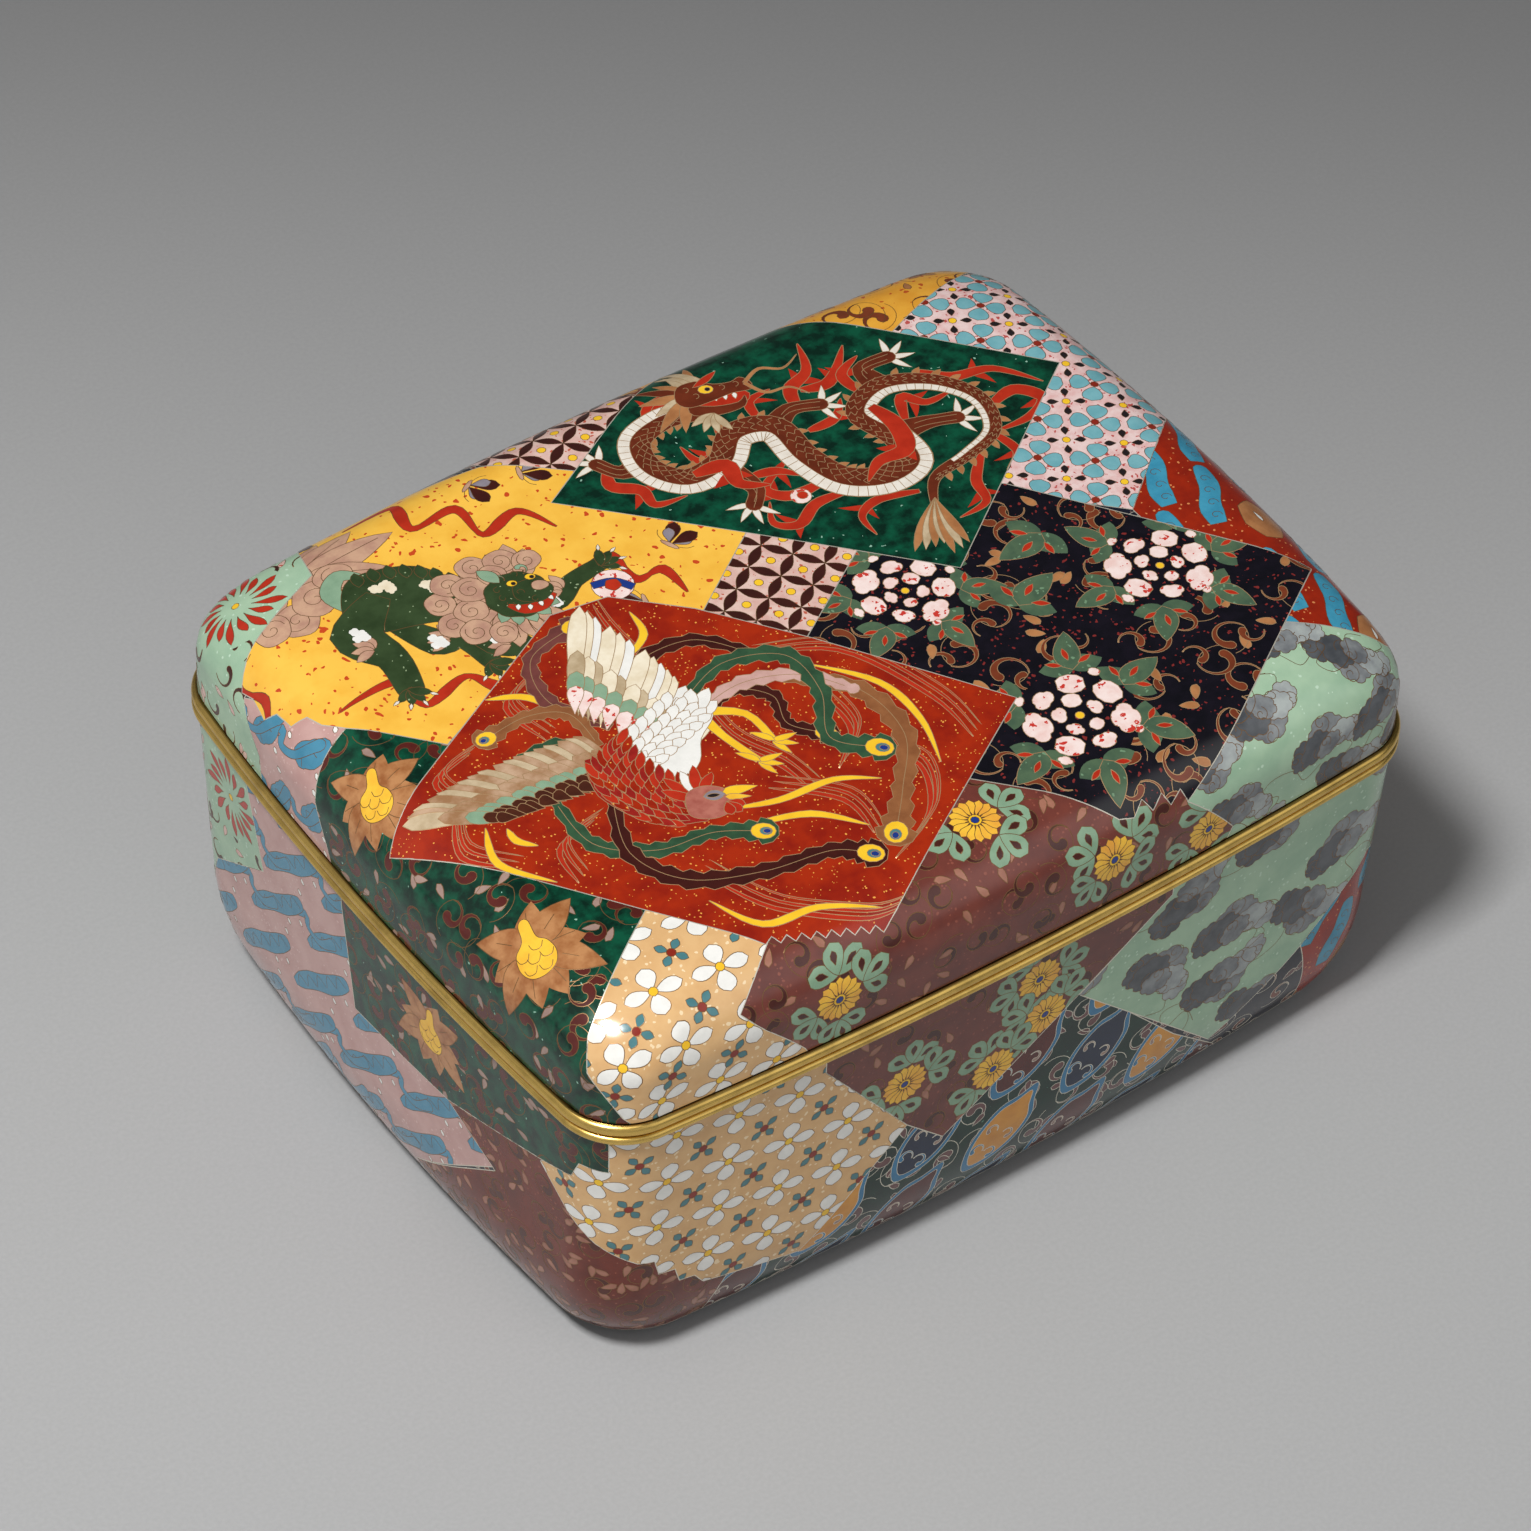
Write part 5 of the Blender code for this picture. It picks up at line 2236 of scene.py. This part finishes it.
def lid_patches() -> list[Patch]:
    """The lid's patches, later ones over earlier ones.

    Returns:
        The patches.
    """
    far = 130.0
    return [
        Patch("navy_far", NAVY, [(-far, -far), (far, -far), (far, far), (-far, far)], 3),
        Patch("amber", AMBER, [(2, 62), (36, 84), (60, 50), (92, 68), (104, 110), (-6, 110)], 4),
        Patch("turquoise", TURQUOISE, [(60, 54), (87, 65), (120, 74), (130, 20), (96, 8), (70, -13),
            (48, 8), (78, 32)], 5),
        Patch("red_clouds", RED_CLOUDS, [(96, 8), (70, -13), (70, -60), (90, -76), (130, -84),
            (130, 18)], 6),
        Patch("celadon", CELADON, [(70, -50), (96, -66), (130, -72), (130, -110), (50, -110),
            (50, -94), (30, -74)], 7),
        Patch("cocoa", COCOA, [(-50, -60), (-72, -72), (-66, -94), (-64, -100), (56, -100),
            (55.8, -90.7), (37.6, -78.6), (34, -71), (20, -70), (-1, -46), (-34, -68)], 8,
            lambda d: set_chrysanthemums(d, [
                (-5.4, -63.0), (19.3, -83.2), (-49.1, -83.4), (47.0, -88.0)])),
        Patch("tan", TAN, [(-54.6, -66), (-50, -60), (-66, -41), (-70.6, -45), (-94.6, -64.5),
            (-101, -71), (-107, -86), (-108, -100), (-62.5, -100), (-62.5, -92), (-68, -76)], 9),
        Patch("lotus", LOTUS, [(-89, 22.5), (-74, 7.5), (-94, -8), (-68, -47), (-94.6, -64.5),
            (-101, -71), (-107, -86), (-108, -100), (-130, -100), (-130, 12), (-115.6, 16),
            (-109, 18.6), (-104.8, 20), (-96.6, 21.3)], 10,
            lambda d: (set_lotus(d, (-94.2, 5.6), 60, 0.9), set_lotus(d, (-91.5, -44.0), 75))),
        Patch("bars", BARS, [(-100, 49), (-109.5, 45), (-130, 52), (-130, 12), (-115.6, 16),
            (-109, 18.6), (-104.8, 20), (-96.6, 21.3), (-89, 22.5)], 11),
        Patch("pinwheel", PINWHEEL, [(-97, 47), (-100, 49), (-109.5, 45), (-130, 52), (-130, 110),
            (-56, 110), (-66, 56)], 12, lambda d: set_pinwheel(d, (-88.0, 66.0))),
        Patch("lenses_far", LENSES, [(-27.5, 69), (-14, 53), (-23, 49), (10, 67), (-4, 110),
            (-34, 110)], 13),
        Patch("lenses", LENSES, [(3.6, 23), (19, 6), (-2.6, -9), (-18, 11)], 14),
        Patch("lion", LION_GROUND, [(-62, 110), (-72, 60.6), (-86, 55), (-99.6, 50), (-98.6, 46),
            (-100, 41), (-97, 38), (-96.6, 33), (-93, 31), (-92, 27), (-89, 22.5), (-76, 7.5),
            (-41, 23), (-17, 9), (3.6, 23), (-23, 51), (-14, 56), (-28, 69), (-45, 74), (-48, 110)],
            15, draw_lion),
        Patch("peonies", PEONIES, [(50, 9), (53.5, 6.4), (91, -43.6), (37.6, -78.5), (36, -75.5),
            (33.4, -77.6), (31.6, -74.6), (29, -77), (27, -74), (24.4, -76.6), (21, -75.6),
            (-1, -53), (18, -42), (-5, -8), (20, 8), (31, -2)], 16,
            lambda d: (set_peony(d, (19.3, -7.3), 0.82), set_peony(d, (64.8, -28.4), 0.86, 20),
                       set_peony(d, (27.3, -52.2), 0.92, 40),
                       set_leaf(d.pen((36.0, -22.0), 30, 1.2), 4.8),
                       set_leaf(d.pen((50.0, -9.0), 200, 1.2), 4.8))),
        Patch("dragon", DRAGON_GROUND, [(-23, 51), (36, 84), (84, 29), (32, -8)], 17, draw_dragon),
        Patch("bird", BIRD_GROUND, [(-100, -5), (-41, 25), (-29, 23), (-17, 11), (-3, -8),
            (20, -42), *pinked((-34, -74.5), (-55.5, -66.5), 8, 1.5), (-70, -47)], 18, draw_bird),
    ]


def body_patches(chart: BodyChart) -> list[Patch]:
    """The body's patches, later ones over earlier ones.

    Args:
        chart: The shell's chart.

    Returns:
        The patches.
    """
    end, foot, top = 2 * chart.quarter + 5, -chart.depth - 5, 5
    return [
        Patch("navy", NAVY, [(-end, foot), (end, foot), (end, top), (-end, top)], 21),
        Patch("amber", AMBER, [(222, top), (238, -40), (262, foot), (end, foot), (end, top)], 22),
        Patch("lenses", LENSES, [(286, top), (300, -34), (end, -50), (end, top)], 23),
        Patch("pine", PINE, [(-end, top), (-262, top), (-248, -36), (-270, foot), (-end, foot)], 24),
        Patch("turquoise", TURQUOISE, [(-262, top), (-190, top), (-204, -34), (-248, -36)], 25),
        Patch("brick_far", BRICK, [(-248, -36), (-204, -34), (-192, foot), (-270, foot)], 26),
        Patch("cocoa_far", COCOA, [(-190, top), (-150, top), (-166, -40), (-204, -34)], 27,
            lambda d: set_chrysanthemums(d, [(-176, -12), (-186, -30)])),
        Patch("pinwheel", PINWHEEL, [(-150, top), (-116, top), (-112, -22), (-133, -37),
            (-150, foot), (-192, foot), (-204, -34), (-166, -40)], 28,
            lambda d: (set_pinwheel(d, (-124, -12)), set_pinwheel(d, (-166, -54)))),
        Patch("bars", BARS, [(-118, top), (-112, -22), (-133, -37), (-150, foot), (-56, foot),
            (-60, -58.5), (-30, -32), (-46, -25), (-78, -28), (-81, top)], 29),
        Patch("lotus", LOTUS, [(-81, top), (-81, -3.6), (-78, -30), (-46, -27), (-16, -17),
            (-8, -14), (-6, -9), (0, -9), (2, top)], 30,
            lambda d: set_lotus(d, (-51.3, -13.0), 90, 0.9)),
        Patch("ruyi", RUYI, [(66, -29), (75, -38), (106, -16), (133, -46.5), (150, -62),
            (160, foot), (8, foot), (10, -45), (42, -48)], 31),
        Patch("celadon", CELADON, [(125, top), (127, -2.5), (106, -18), (145.5, -57), (166, -42),
            (182, -25.6), (208, -34), (226, top)], 32),
        Patch("cinnabar", RED_CLOUDS, [(182, -25.6), (208, -34), (222, foot), (176, foot),
            (166, -42)], 33),
        Patch("cocoa", COCOA, [(44, top), (46, -3.6), (66, -31), (75, -40), (127, -2.5),
            (127, top)], 34, lambda d: set_chrysanthemums(d, [
                (95.3, -6.9), (97.7, -18.4), (64.6, -18.2), (86.0, -27.0)])),
        Patch("brick", BRICK, [(-46, -27), (-16, -17), (2, -22), (14, -36), (27, -48), (13, foot),
            (-56, foot), (-60, -58.5), (-31, -34)], 36),
        Patch("tan", TAN, [(0, top), (46, top), (46, -3.6), (66, -31), (42, -55.5), (20, -50),
            (18, -46.6), (14.6, -46), (13.6, -42), (10, -41.4), (9, -37), (5.6, -36.4), (-2.6, -31),
            (-17, -18), (-16, -17), (-8, -14), (-6, -9), (0, -9)], 35),
        Patch("foot_band", BAND, [(-end, foot), (end, foot), (end, -63.5), (-end, -63.5)], 37),
    ]


@dataclass(frozen=True)
class CounterEnamel:
    """Counter enamel: one coat of speckled blue-green glass on the copper's unseen sides.

    It is fired and left as it flows, so the eye sees a softer gloss and a slight ripple.
    """

    colour: str = "#1f4650"
    second: str = "#17343f"
    speck: str = "#4f7f86"
    speck_pitch: float = 1.4
    speck_size: float = 0.2
    ripple: float = 5.0
    roughness: float = 0.2

    def material(self) -> Material:
        """Build the coat's material.

        Returns:
            The material.
        """
        material, tree, shader = new_material("counter_enamel")
        place = add_node(tree, "ShaderNodeTexCoord").outputs["Object"]
        flow = noise(tree, place, self.ripple, 2.0).outputs["Fac"]
        colour = blend_colours(tree, flow, self.colour, self.second)
        cells = add_node(tree, "ShaderNodeTexVoronoi", {
            "Vector": place, "Scale": 1000 / self.speck_pitch})
        near = calculate(tree, "LESS_THAN", cells.outputs["Distance"], self.speck_size)
        bump = add_node(tree, "ShaderNodeBump", {
            "Height": flow, "Strength": 0.25, "Distance": 0.05 * MM})
        set_inputs(tree, shader, {
            "Base Color": blend_colours(tree, near, colour, self.speck),
            "Normal": bump.outputs[0], "Roughness": self.roughness, "IOR": GLASS_IOR})
        return material


@dataclass(frozen=True)
class RimBrass:
    """Gilt brass rims, drawn and hand burnished, worn and stained brown, with painted shade along the
    seam.

    The eye sees a warm yellow metal with fine lines along the rim, brown stains, and painted shade that
    darkens the bead's edges where it meets the seam and the enamel. Sizes are in millimetres.
    """

    colour: str = "#ecc66e"
    # Colour of the brown stains, and of the painted shade at the bead's edges
    dark: str = "#664719"
    stain: float = 7.0
    roughness: float = 0.24
    # Where the map has the bead's middle, and how far from it the painted shade at the bead's edges
    # begins and ends
    BEAD_MIDDLE: ClassVar[float] = 0.5
    EDGE_SHADE_REACH: ClassVar[tuple[float, float]] = (0.34, 0.5)
    # How much finer the drawn lines are along the rim's map and across it
    LINES: ClassVar[tuple[float, float, float]] = (60.0, 18.0, 1.0)

    def material(self) -> Material:
        """Build the rims' material; it reads the map that runs along and round the rim.

        Returns:
            The material.
        """
        material, tree, shader = new_material("rim_brass")
        coordinates = add_node(tree, "ShaderNodeTexCoord")
        along = add_node(tree, "ShaderNodeMapping", {
            "Vector": coordinates.outputs["UV"], "Scale": self.LINES})
        lines = add_node(tree, "ShaderNodeTexNoise", {
            "Vector": along.outputs[0], "Scale": 1.0, "Detail": 4.0, "Roughness": 0.65})
        stains = noise(tree, coordinates.outputs["Object"], self.stain, 5.0, 0.65)
        stained = spread(tree, stains.outputs["Fac"], (0.45, 0.78), (0.0, 0.5))
        height = add_node(tree, "ShaderNodeSeparateXYZ", {0: coordinates.outputs["UV"]})
        above = calculate(tree, "SUBTRACT", height.outputs[1], self.BEAD_MIDDLE)
        # Painted shade: the bead darkens towards its edges, where it meets the seam and the enamel; the
        # brown stains are mixed in after
        painted_edge_shade = spread(tree, calculate(tree, "ABSOLUTE", above), self.EDGE_SHADE_REACH, (0.0, 0.9))
        brown = calculate(tree, "MAXIMUM", stained, painted_edge_shade)
        dull = spread(tree, lines.outputs["Fac"], (0.3, 0.7),
                      (self.roughness - 0.08, self.roughness + 0.16))
        bump = add_node(tree, "ShaderNodeBump", {
            "Height": lines.outputs["Fac"], "Strength": 0.35, "Distance": 0.03 * MM})
        set_inputs(tree, shader, {
            "Base Color": blend_colours(tree, brown, self.colour, self.dark),
            "Roughness": dull, "Normal": bump.outputs[0], "Metallic": 1.0})
        return material


def wire_material(metal: Metal) -> Material:
    """Flat drawn wire, polished down with the glass and dulled by age, so partly matt.

    Args:
        metal: The wires' metal.

    Returns:
        The material.
    """
    colour = {Metal.SILVER: "#e2dccb", Metal.GILT: "#d3ab7c", Metal.BRASS: "#82603c"}[metal]
    material, tree, shader = new_material(metal.value)
    set_inputs(tree, shader, {"Base Color": linear(colour), "Metallic": 0.6, "Roughness": 0.38})
    return material


def loft(rings: Sequence[Sequence[Vector]], closed: bool) -> BMesh:
    """Bridge rings in turn.

    Args:
        rings: Level rings in millimetres with one point count.
        closed: Whether the last ring is bridged to the first; otherwise both ends are filled.

    Returns:
        The closed form, in metres.
    """
    form = bmesh.new()
    loops = []
    for ring in rings:
        verts = [form.verts.new(point * MM) for point in ring]
        loops.append([form.edges.new(pair) for pair in zip(verts, verts[1:] + verts[:1])])
    pairs = list(zip(loops, loops[1:])) + ([(loops[-1], loops[0])] if closed else [])
    for first, second in pairs:
        bmesh.ops.bridge_loops(form, edges=first + second)
    if not closed:
        for loop in (loops[0], loops[-1]):
            bmesh.ops.contextual_create(form, geom=loop)
    bmesh.ops.recalc_face_normals(form, faces=form.faces)
    return form


def finish_form(name: str, form: BMesh, material: Material,
                sharp: float = 40.0) -> Object:
    """Turn a form into a smooth shaded piece.

    Args:
        name: The piece's name.
        form: Its form, in metres.
        material: What it is made of.
        sharp: Edges that turn by more degrees than this stay sharp.

    Returns:
        The piece.
    """
    mesh = bpy.data.meshes.new(name)
    form.to_mesh(mesh)
    form.free()
    mesh.materials.append(material)
    mesh.shade_smooth()
    mesh.set_sharp_from_angle(angle=math.radians(sharp))
    return link_piece(name, mesh)


@dataclass
class Shell:
    """One copper shell with counter enamel inside, right under the enamel patches."""

    coat: Material
    round_steps: int = 16
    side_steps: int = 6
    corner_steps: int = 18
    crown_shares: tuple[float, ...] = (0.9, 0.75, 0.55, 0.35, 0.15)
    base_shares: tuple[float, ...] = (0.8, 0.5, 0.2)

    @staticmethod
    def sink(chart: Chart, flat: Points, depth: float) -> list[Vector]:
        """Points of a board laid at a depth below the outer face, in millimetres."""
        place, normal = chart.lay(flat)
        return [Vector(point) for point in place - normal * depth]

    def lid_rings(self, chart: LidChart, depth: float) -> list[list[Vector]]:
        """Rings from the lid's edge up to its crown.

        Args:
            chart: The lid's board.
            depth: Millimetres below the outer face.

        Returns:
            The rings.
        """
        runs = [chart.run, *np.linspace(chart.shoulder_run, 0.0, self.round_steps)]
        rings = [self.sink(chart, chart.loop(float(run)), depth) for run in runs]
        return rings + [[Vector((p.x * share, p.y * share, p.z + CROWN * (1 - share ** 2)))
                         for p in rings[-1]] for share in self.crown_shares]

    def body_rings(self, chart: BodyChart, depth: float) -> list[list[Vector]]:
        """Rings from the body's edge down to its flat base, at a depth below the outer face.

        Args:
            chart: The shell's chart.
            depth: How far below the outer face.

        Returns:
            The rings' points.
        """
        share = chart.ring.shares(self.side_steps, self.corner_steps)
        ahead, back = share[:-1], 1 - share[:0:-1]
        run = np.concatenate([ahead, 1 + back, 2 + ahead, 3 + back]) * chart.quarter
        downs = [0.0, *np.linspace(chart.down[1], chart.depth, self.round_steps)]
        rings = [self.sink(chart, np.stack([run - chart.short_leg, np.full_like(run, -down)], -1),
                           depth) for down in downs]
        return rings + [[Vector((p.x * share, p.y * share, p.z)) for p in rings[-1]]
                        for share in self.base_shares]

    def build(self, name: str, outer: list[list[Vector]], inner: list[list[Vector]],
              node: str, slot: str) -> None:
        """Join an outer and an inner face at the open edge.

        Args:
            name: The piece's name.
            outer: The outer face's rings, from the edge.
            inner: The inner face's rings, from the edge.
            node: The CAD node it stands for.
            slot: Not used.
        """
        piece = finish_form(name, loft(outer[::-1] + inner, False), self.coat)
        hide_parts(node)


@dataclass
class Rim:
    """A half-round brass rim, swept round the box."""

    metal: Material
    node: str
    bead_steps: int = 12
    side_steps: int = 11
    corner_steps: int = 22

    def section(self) -> list[tuple[float, float]]:
        """The bead's inset and height round its outer half, from below to above.

        Returns:
            Insets and heights.
        """
        low, high = box_mm(self.node)
        if self.node == "body_rim":
            # The flange reaches higher than the bead, which ends just under the lid's rim
            high.z = box_mm("lid_rim")[0].z - RIM_GAP
        middle, half = (low.z + high.z) / 2, (high.z - low.z) / 2
        return [(RIM_PROUD * (1 - math.cos(turn)), middle + half * math.sin(turn))
                for turn in np.linspace(-QUARTER, QUARTER, self.bead_steps + 1)]

    def build(self, inner: Sequence[tuple[float, float]]) -> None:
        """Sweep the bead and the given inner side round the box.

        Args:
            inner: Inset and height of the inner side's corners, from above to below.
        """
        _, high = box_mm(self.node)
        rings = []
        for inset, height in self.section() + list(inner):
            ring = Ring(high.x - inset, high.y - inset, PLAN_CORNER - inset)
            places = whole_ring(ring, ring.shares(self.side_steps, self.corner_steps))
            rings.append([Vector((x, y, height)) for x, y in places.tolist()])
        form = loft(rings, True)
        self.map_round(form, rings)
        piece = finish_form(self.node + "_brass", form, self.metal, 50)
        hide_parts(self.node)

    def map_round(self, form: BMesh, rings: Sequence[Sequence[Vector]]) -> None:
        """Give each face its place along the rim, and over the bead from 0 to 1.

        Args:
            form: The rim's mesh.
            rings: Its rings, the bead's first.
        """
        count = len(rings[0])
        layer = form.loops.layers.uv.new("UVMap")
        for face in form.faces:
            places = [(loop.vert.index // count, loop.vert.index % count) for loop in face.loops]
            across, along = zip(*places)
            wrap_across = max(across) - min(across) > 1
            wrap_along = max(along) - min(along) > 1
            for loop, (row, column) in zip(face.loops, places):
                row += len(rings) * (wrap_across and row == 0)
                column += count * (wrap_along and column == 0)
                loop[layer].uv = column / count, row / self.bead_steps


class Studio:
    """The floor, the lights and the camera, as the photograph has them."""

    LENS, SENSOR, CLIP = 163.27, 36.0, (0.05, 20.0)
    AZIMUTH, ELEVATION, ROLL = -37.2514, 45.5453, 2.5267
    TARGET = Vector((-13.804, -9.117, 69.3)) * MM
    DISTANCE = 1.334604
    # The paper's colour, its fibres, and the painted shade at its back
    PAPER, PAPER_FIBRE, PAPER_BACK = "#a9a9a9", "#aeaeae", "#5c5c5c"
    PAPER_SIZE, FIBRE_PITCH = 3.0, 0.9
    KEY_PLACE, KEY_AIM, KEY_SIZE, KEY_POWER = (-0.64, -0.24, 1.45), (0.0, 0.0, 0.06), 0.24, 21.5
    # Directions of the paper's painted shade, which darkens it towards the back, of the room's light
    # end and of the sheen on the lid
    BACK_WAY, FRONT_WAY, SHEEN_WAY = (0.605, 0.796, 0.0), (-0.93, -0.34, 0.1), (0.438, -0.711, 0.551)

    def camera(self) -> None:
        """Set the camera at the photograph's place."""
        turn, rise, roll = (math.radians(part)
                            for part in (self.AZIMUTH, self.ELEVATION, self.ROLL))
        back = Vector((math.sin(turn) * math.cos(rise), -math.cos(turn) * math.cos(rise),
                       math.sin(rise)))
        level = Vector((math.cos(turn), math.sin(turn), 0.0))
        upright = back.cross(level)
        right = level * math.cos(roll) + upright * math.sin(roll)
        up = upright * math.cos(roll) - level * math.sin(roll)
        data = bpy.data.cameras.new("camera")
        data.lens, data.sensor_width = self.LENS, self.SENSOR
        data.clip_start, data.clip_end = self.CLIP
        camera = bpy.data.objects.new("camera", data)
        frame_matrix = Matrix((right, up, back)).transposed().to_4x4()
        frame_matrix.translation = self.TARGET + back * self.DISTANCE
        camera.matrix_world = frame_matrix
        bpy.context.scene.collection.objects.link(camera)
        bpy.context.scene.camera = camera

    def floor(self) -> None:
        """Lay seamless grey paper, with painted shade that darkens it towards the back."""
        sheet = bmesh.new()
        bmesh.ops.create_grid(sheet, x_segments=8, y_segments=8, size=self.PAPER_SIZE)
        mesh = bpy.data.meshes.new("floor")
        sheet.to_mesh(mesh)
        sheet.free()
        material, tree, shader = new_material("grey_paper")
        place = add_node(tree, "ShaderNodeTexCoord").outputs["Object"]
        fibre = noise(tree, place, self.FIBRE_PITCH, 3.0).outputs["Fac"]
        colour = blend_colours(tree, spread(tree, fibre, (0.3, 0.7)), self.PAPER, self.PAPER_FIBRE)
        # Painted shade: the paper darkens towards the back, where the light falls off
        painted_falloff = towards(tree, place, self.BACK_WAY, (0.0, 0.44), (0.0, 0.88))
        set_inputs(tree, shader, {
            "Base Color": blend_colours(tree, painted_falloff, colour, self.PAPER_BACK),
            "Roughness": 0.9, "Specular IOR Level": 0.1})
        mesh.materials.append(material)
        floor = bpy.data.objects.new("floor", mesh)
        bpy.context.scene.collection.objects.link(floor)

    def lamp(self) -> None:
        """Hang the key light, a soft square lamp at the left."""
        data = bpy.data.lights.new("key", "AREA")
        data.size, data.energy = self.KEY_SIZE, self.KEY_POWER
        lamp = bpy.data.objects.new("key", data)
        lamp.location = self.KEY_PLACE
        aim = Vector(self.KEY_PLACE) - Vector(self.KEY_AIM)
        lamp.rotation_euler = aim.to_track_quat("Z", "Y").to_euler()
        bpy.context.scene.collection.objects.link(lamp)

    def room(self) -> None:
        """Light the room softly, darker behind the box, with a pale sheen over its lid."""
        world = bpy.data.worlds.new("studio")
        world.use_nodes = True
        tree = world.node_tree
        way = add_node(tree, "ShaderNodeTexCoord").outputs["Generated"]
        glow = towards(tree, way, self.FRONT_WAY, (-0.7, 0.9), (0.06, 0.40))
        sheen = towards(tree, way, self.SHEEN_WAY, (0.87, 1.0), (0.0, 0.75))
        set_inputs(tree, tree.nodes["Background"], {
            "Strength": calculate(tree, "ADD", glow, sheen), "Color": (1.0, 1.0, 1.0, 1.0)})
        bpy.context.scene.world = world

    def build(self) -> None:
        """Set up the whole studio."""
        self.camera()
        self.floor()
        self.lamp()
        self.room()
        bpy.context.scene.view_settings.view_transform = "Standard"


def main() -> None:
    """Dress the box and set up the studio."""
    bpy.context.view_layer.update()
    Studio().build()
    materials = {name: enamel.material() for name, enamel in ENAMELS.items()}
    materials.update({metal.value: wire_material(metal) for metal in Metal})
    lid, body = LidChart(), BodyChart()
    EnamelSkin("lid", lid, lid_patches(), materials).build()
    EnamelSkin("body", body, body_patches(body), materials).build()
    shell = Shell(CounterEnamel().material())
    shell.build("lid_copper", shell.lid_rings(lid, COPPER_FACE), shell.lid_rings(lid, WALL),
                "lid_shell", "counter_enamel")
    shell.build("body_copper", shell.body_rings(body, COPPER_FACE), shell.body_rings(body, WALL),
                "body_shell", "counter_enamel")
    brass = RimBrass().material()
    inner = RIM_PROUD + WALL
    seam, top = (corner.z for corner in box_mm("lid_rim"))
    Rim(brass, "lid_rim").build([(inner, top), (inner, seam)])
    low, high = (corner.z for corner in box_mm("body_rim"))
    near, far = inner + FLANGE_PLAY, inner + FLANGE_PLAY + FLANGE_THICKNESS
    Rim(brass, "body_rim").build([
        (near, seam - RIM_GAP), (near, high - FLANGE_ROUND), (near + FLANGE_ROUND, high),
        (far - FLANGE_ROUND, high), (far, high - FLANGE_ROUND), (far, low)])


if __name__ == "__main__":
    main()
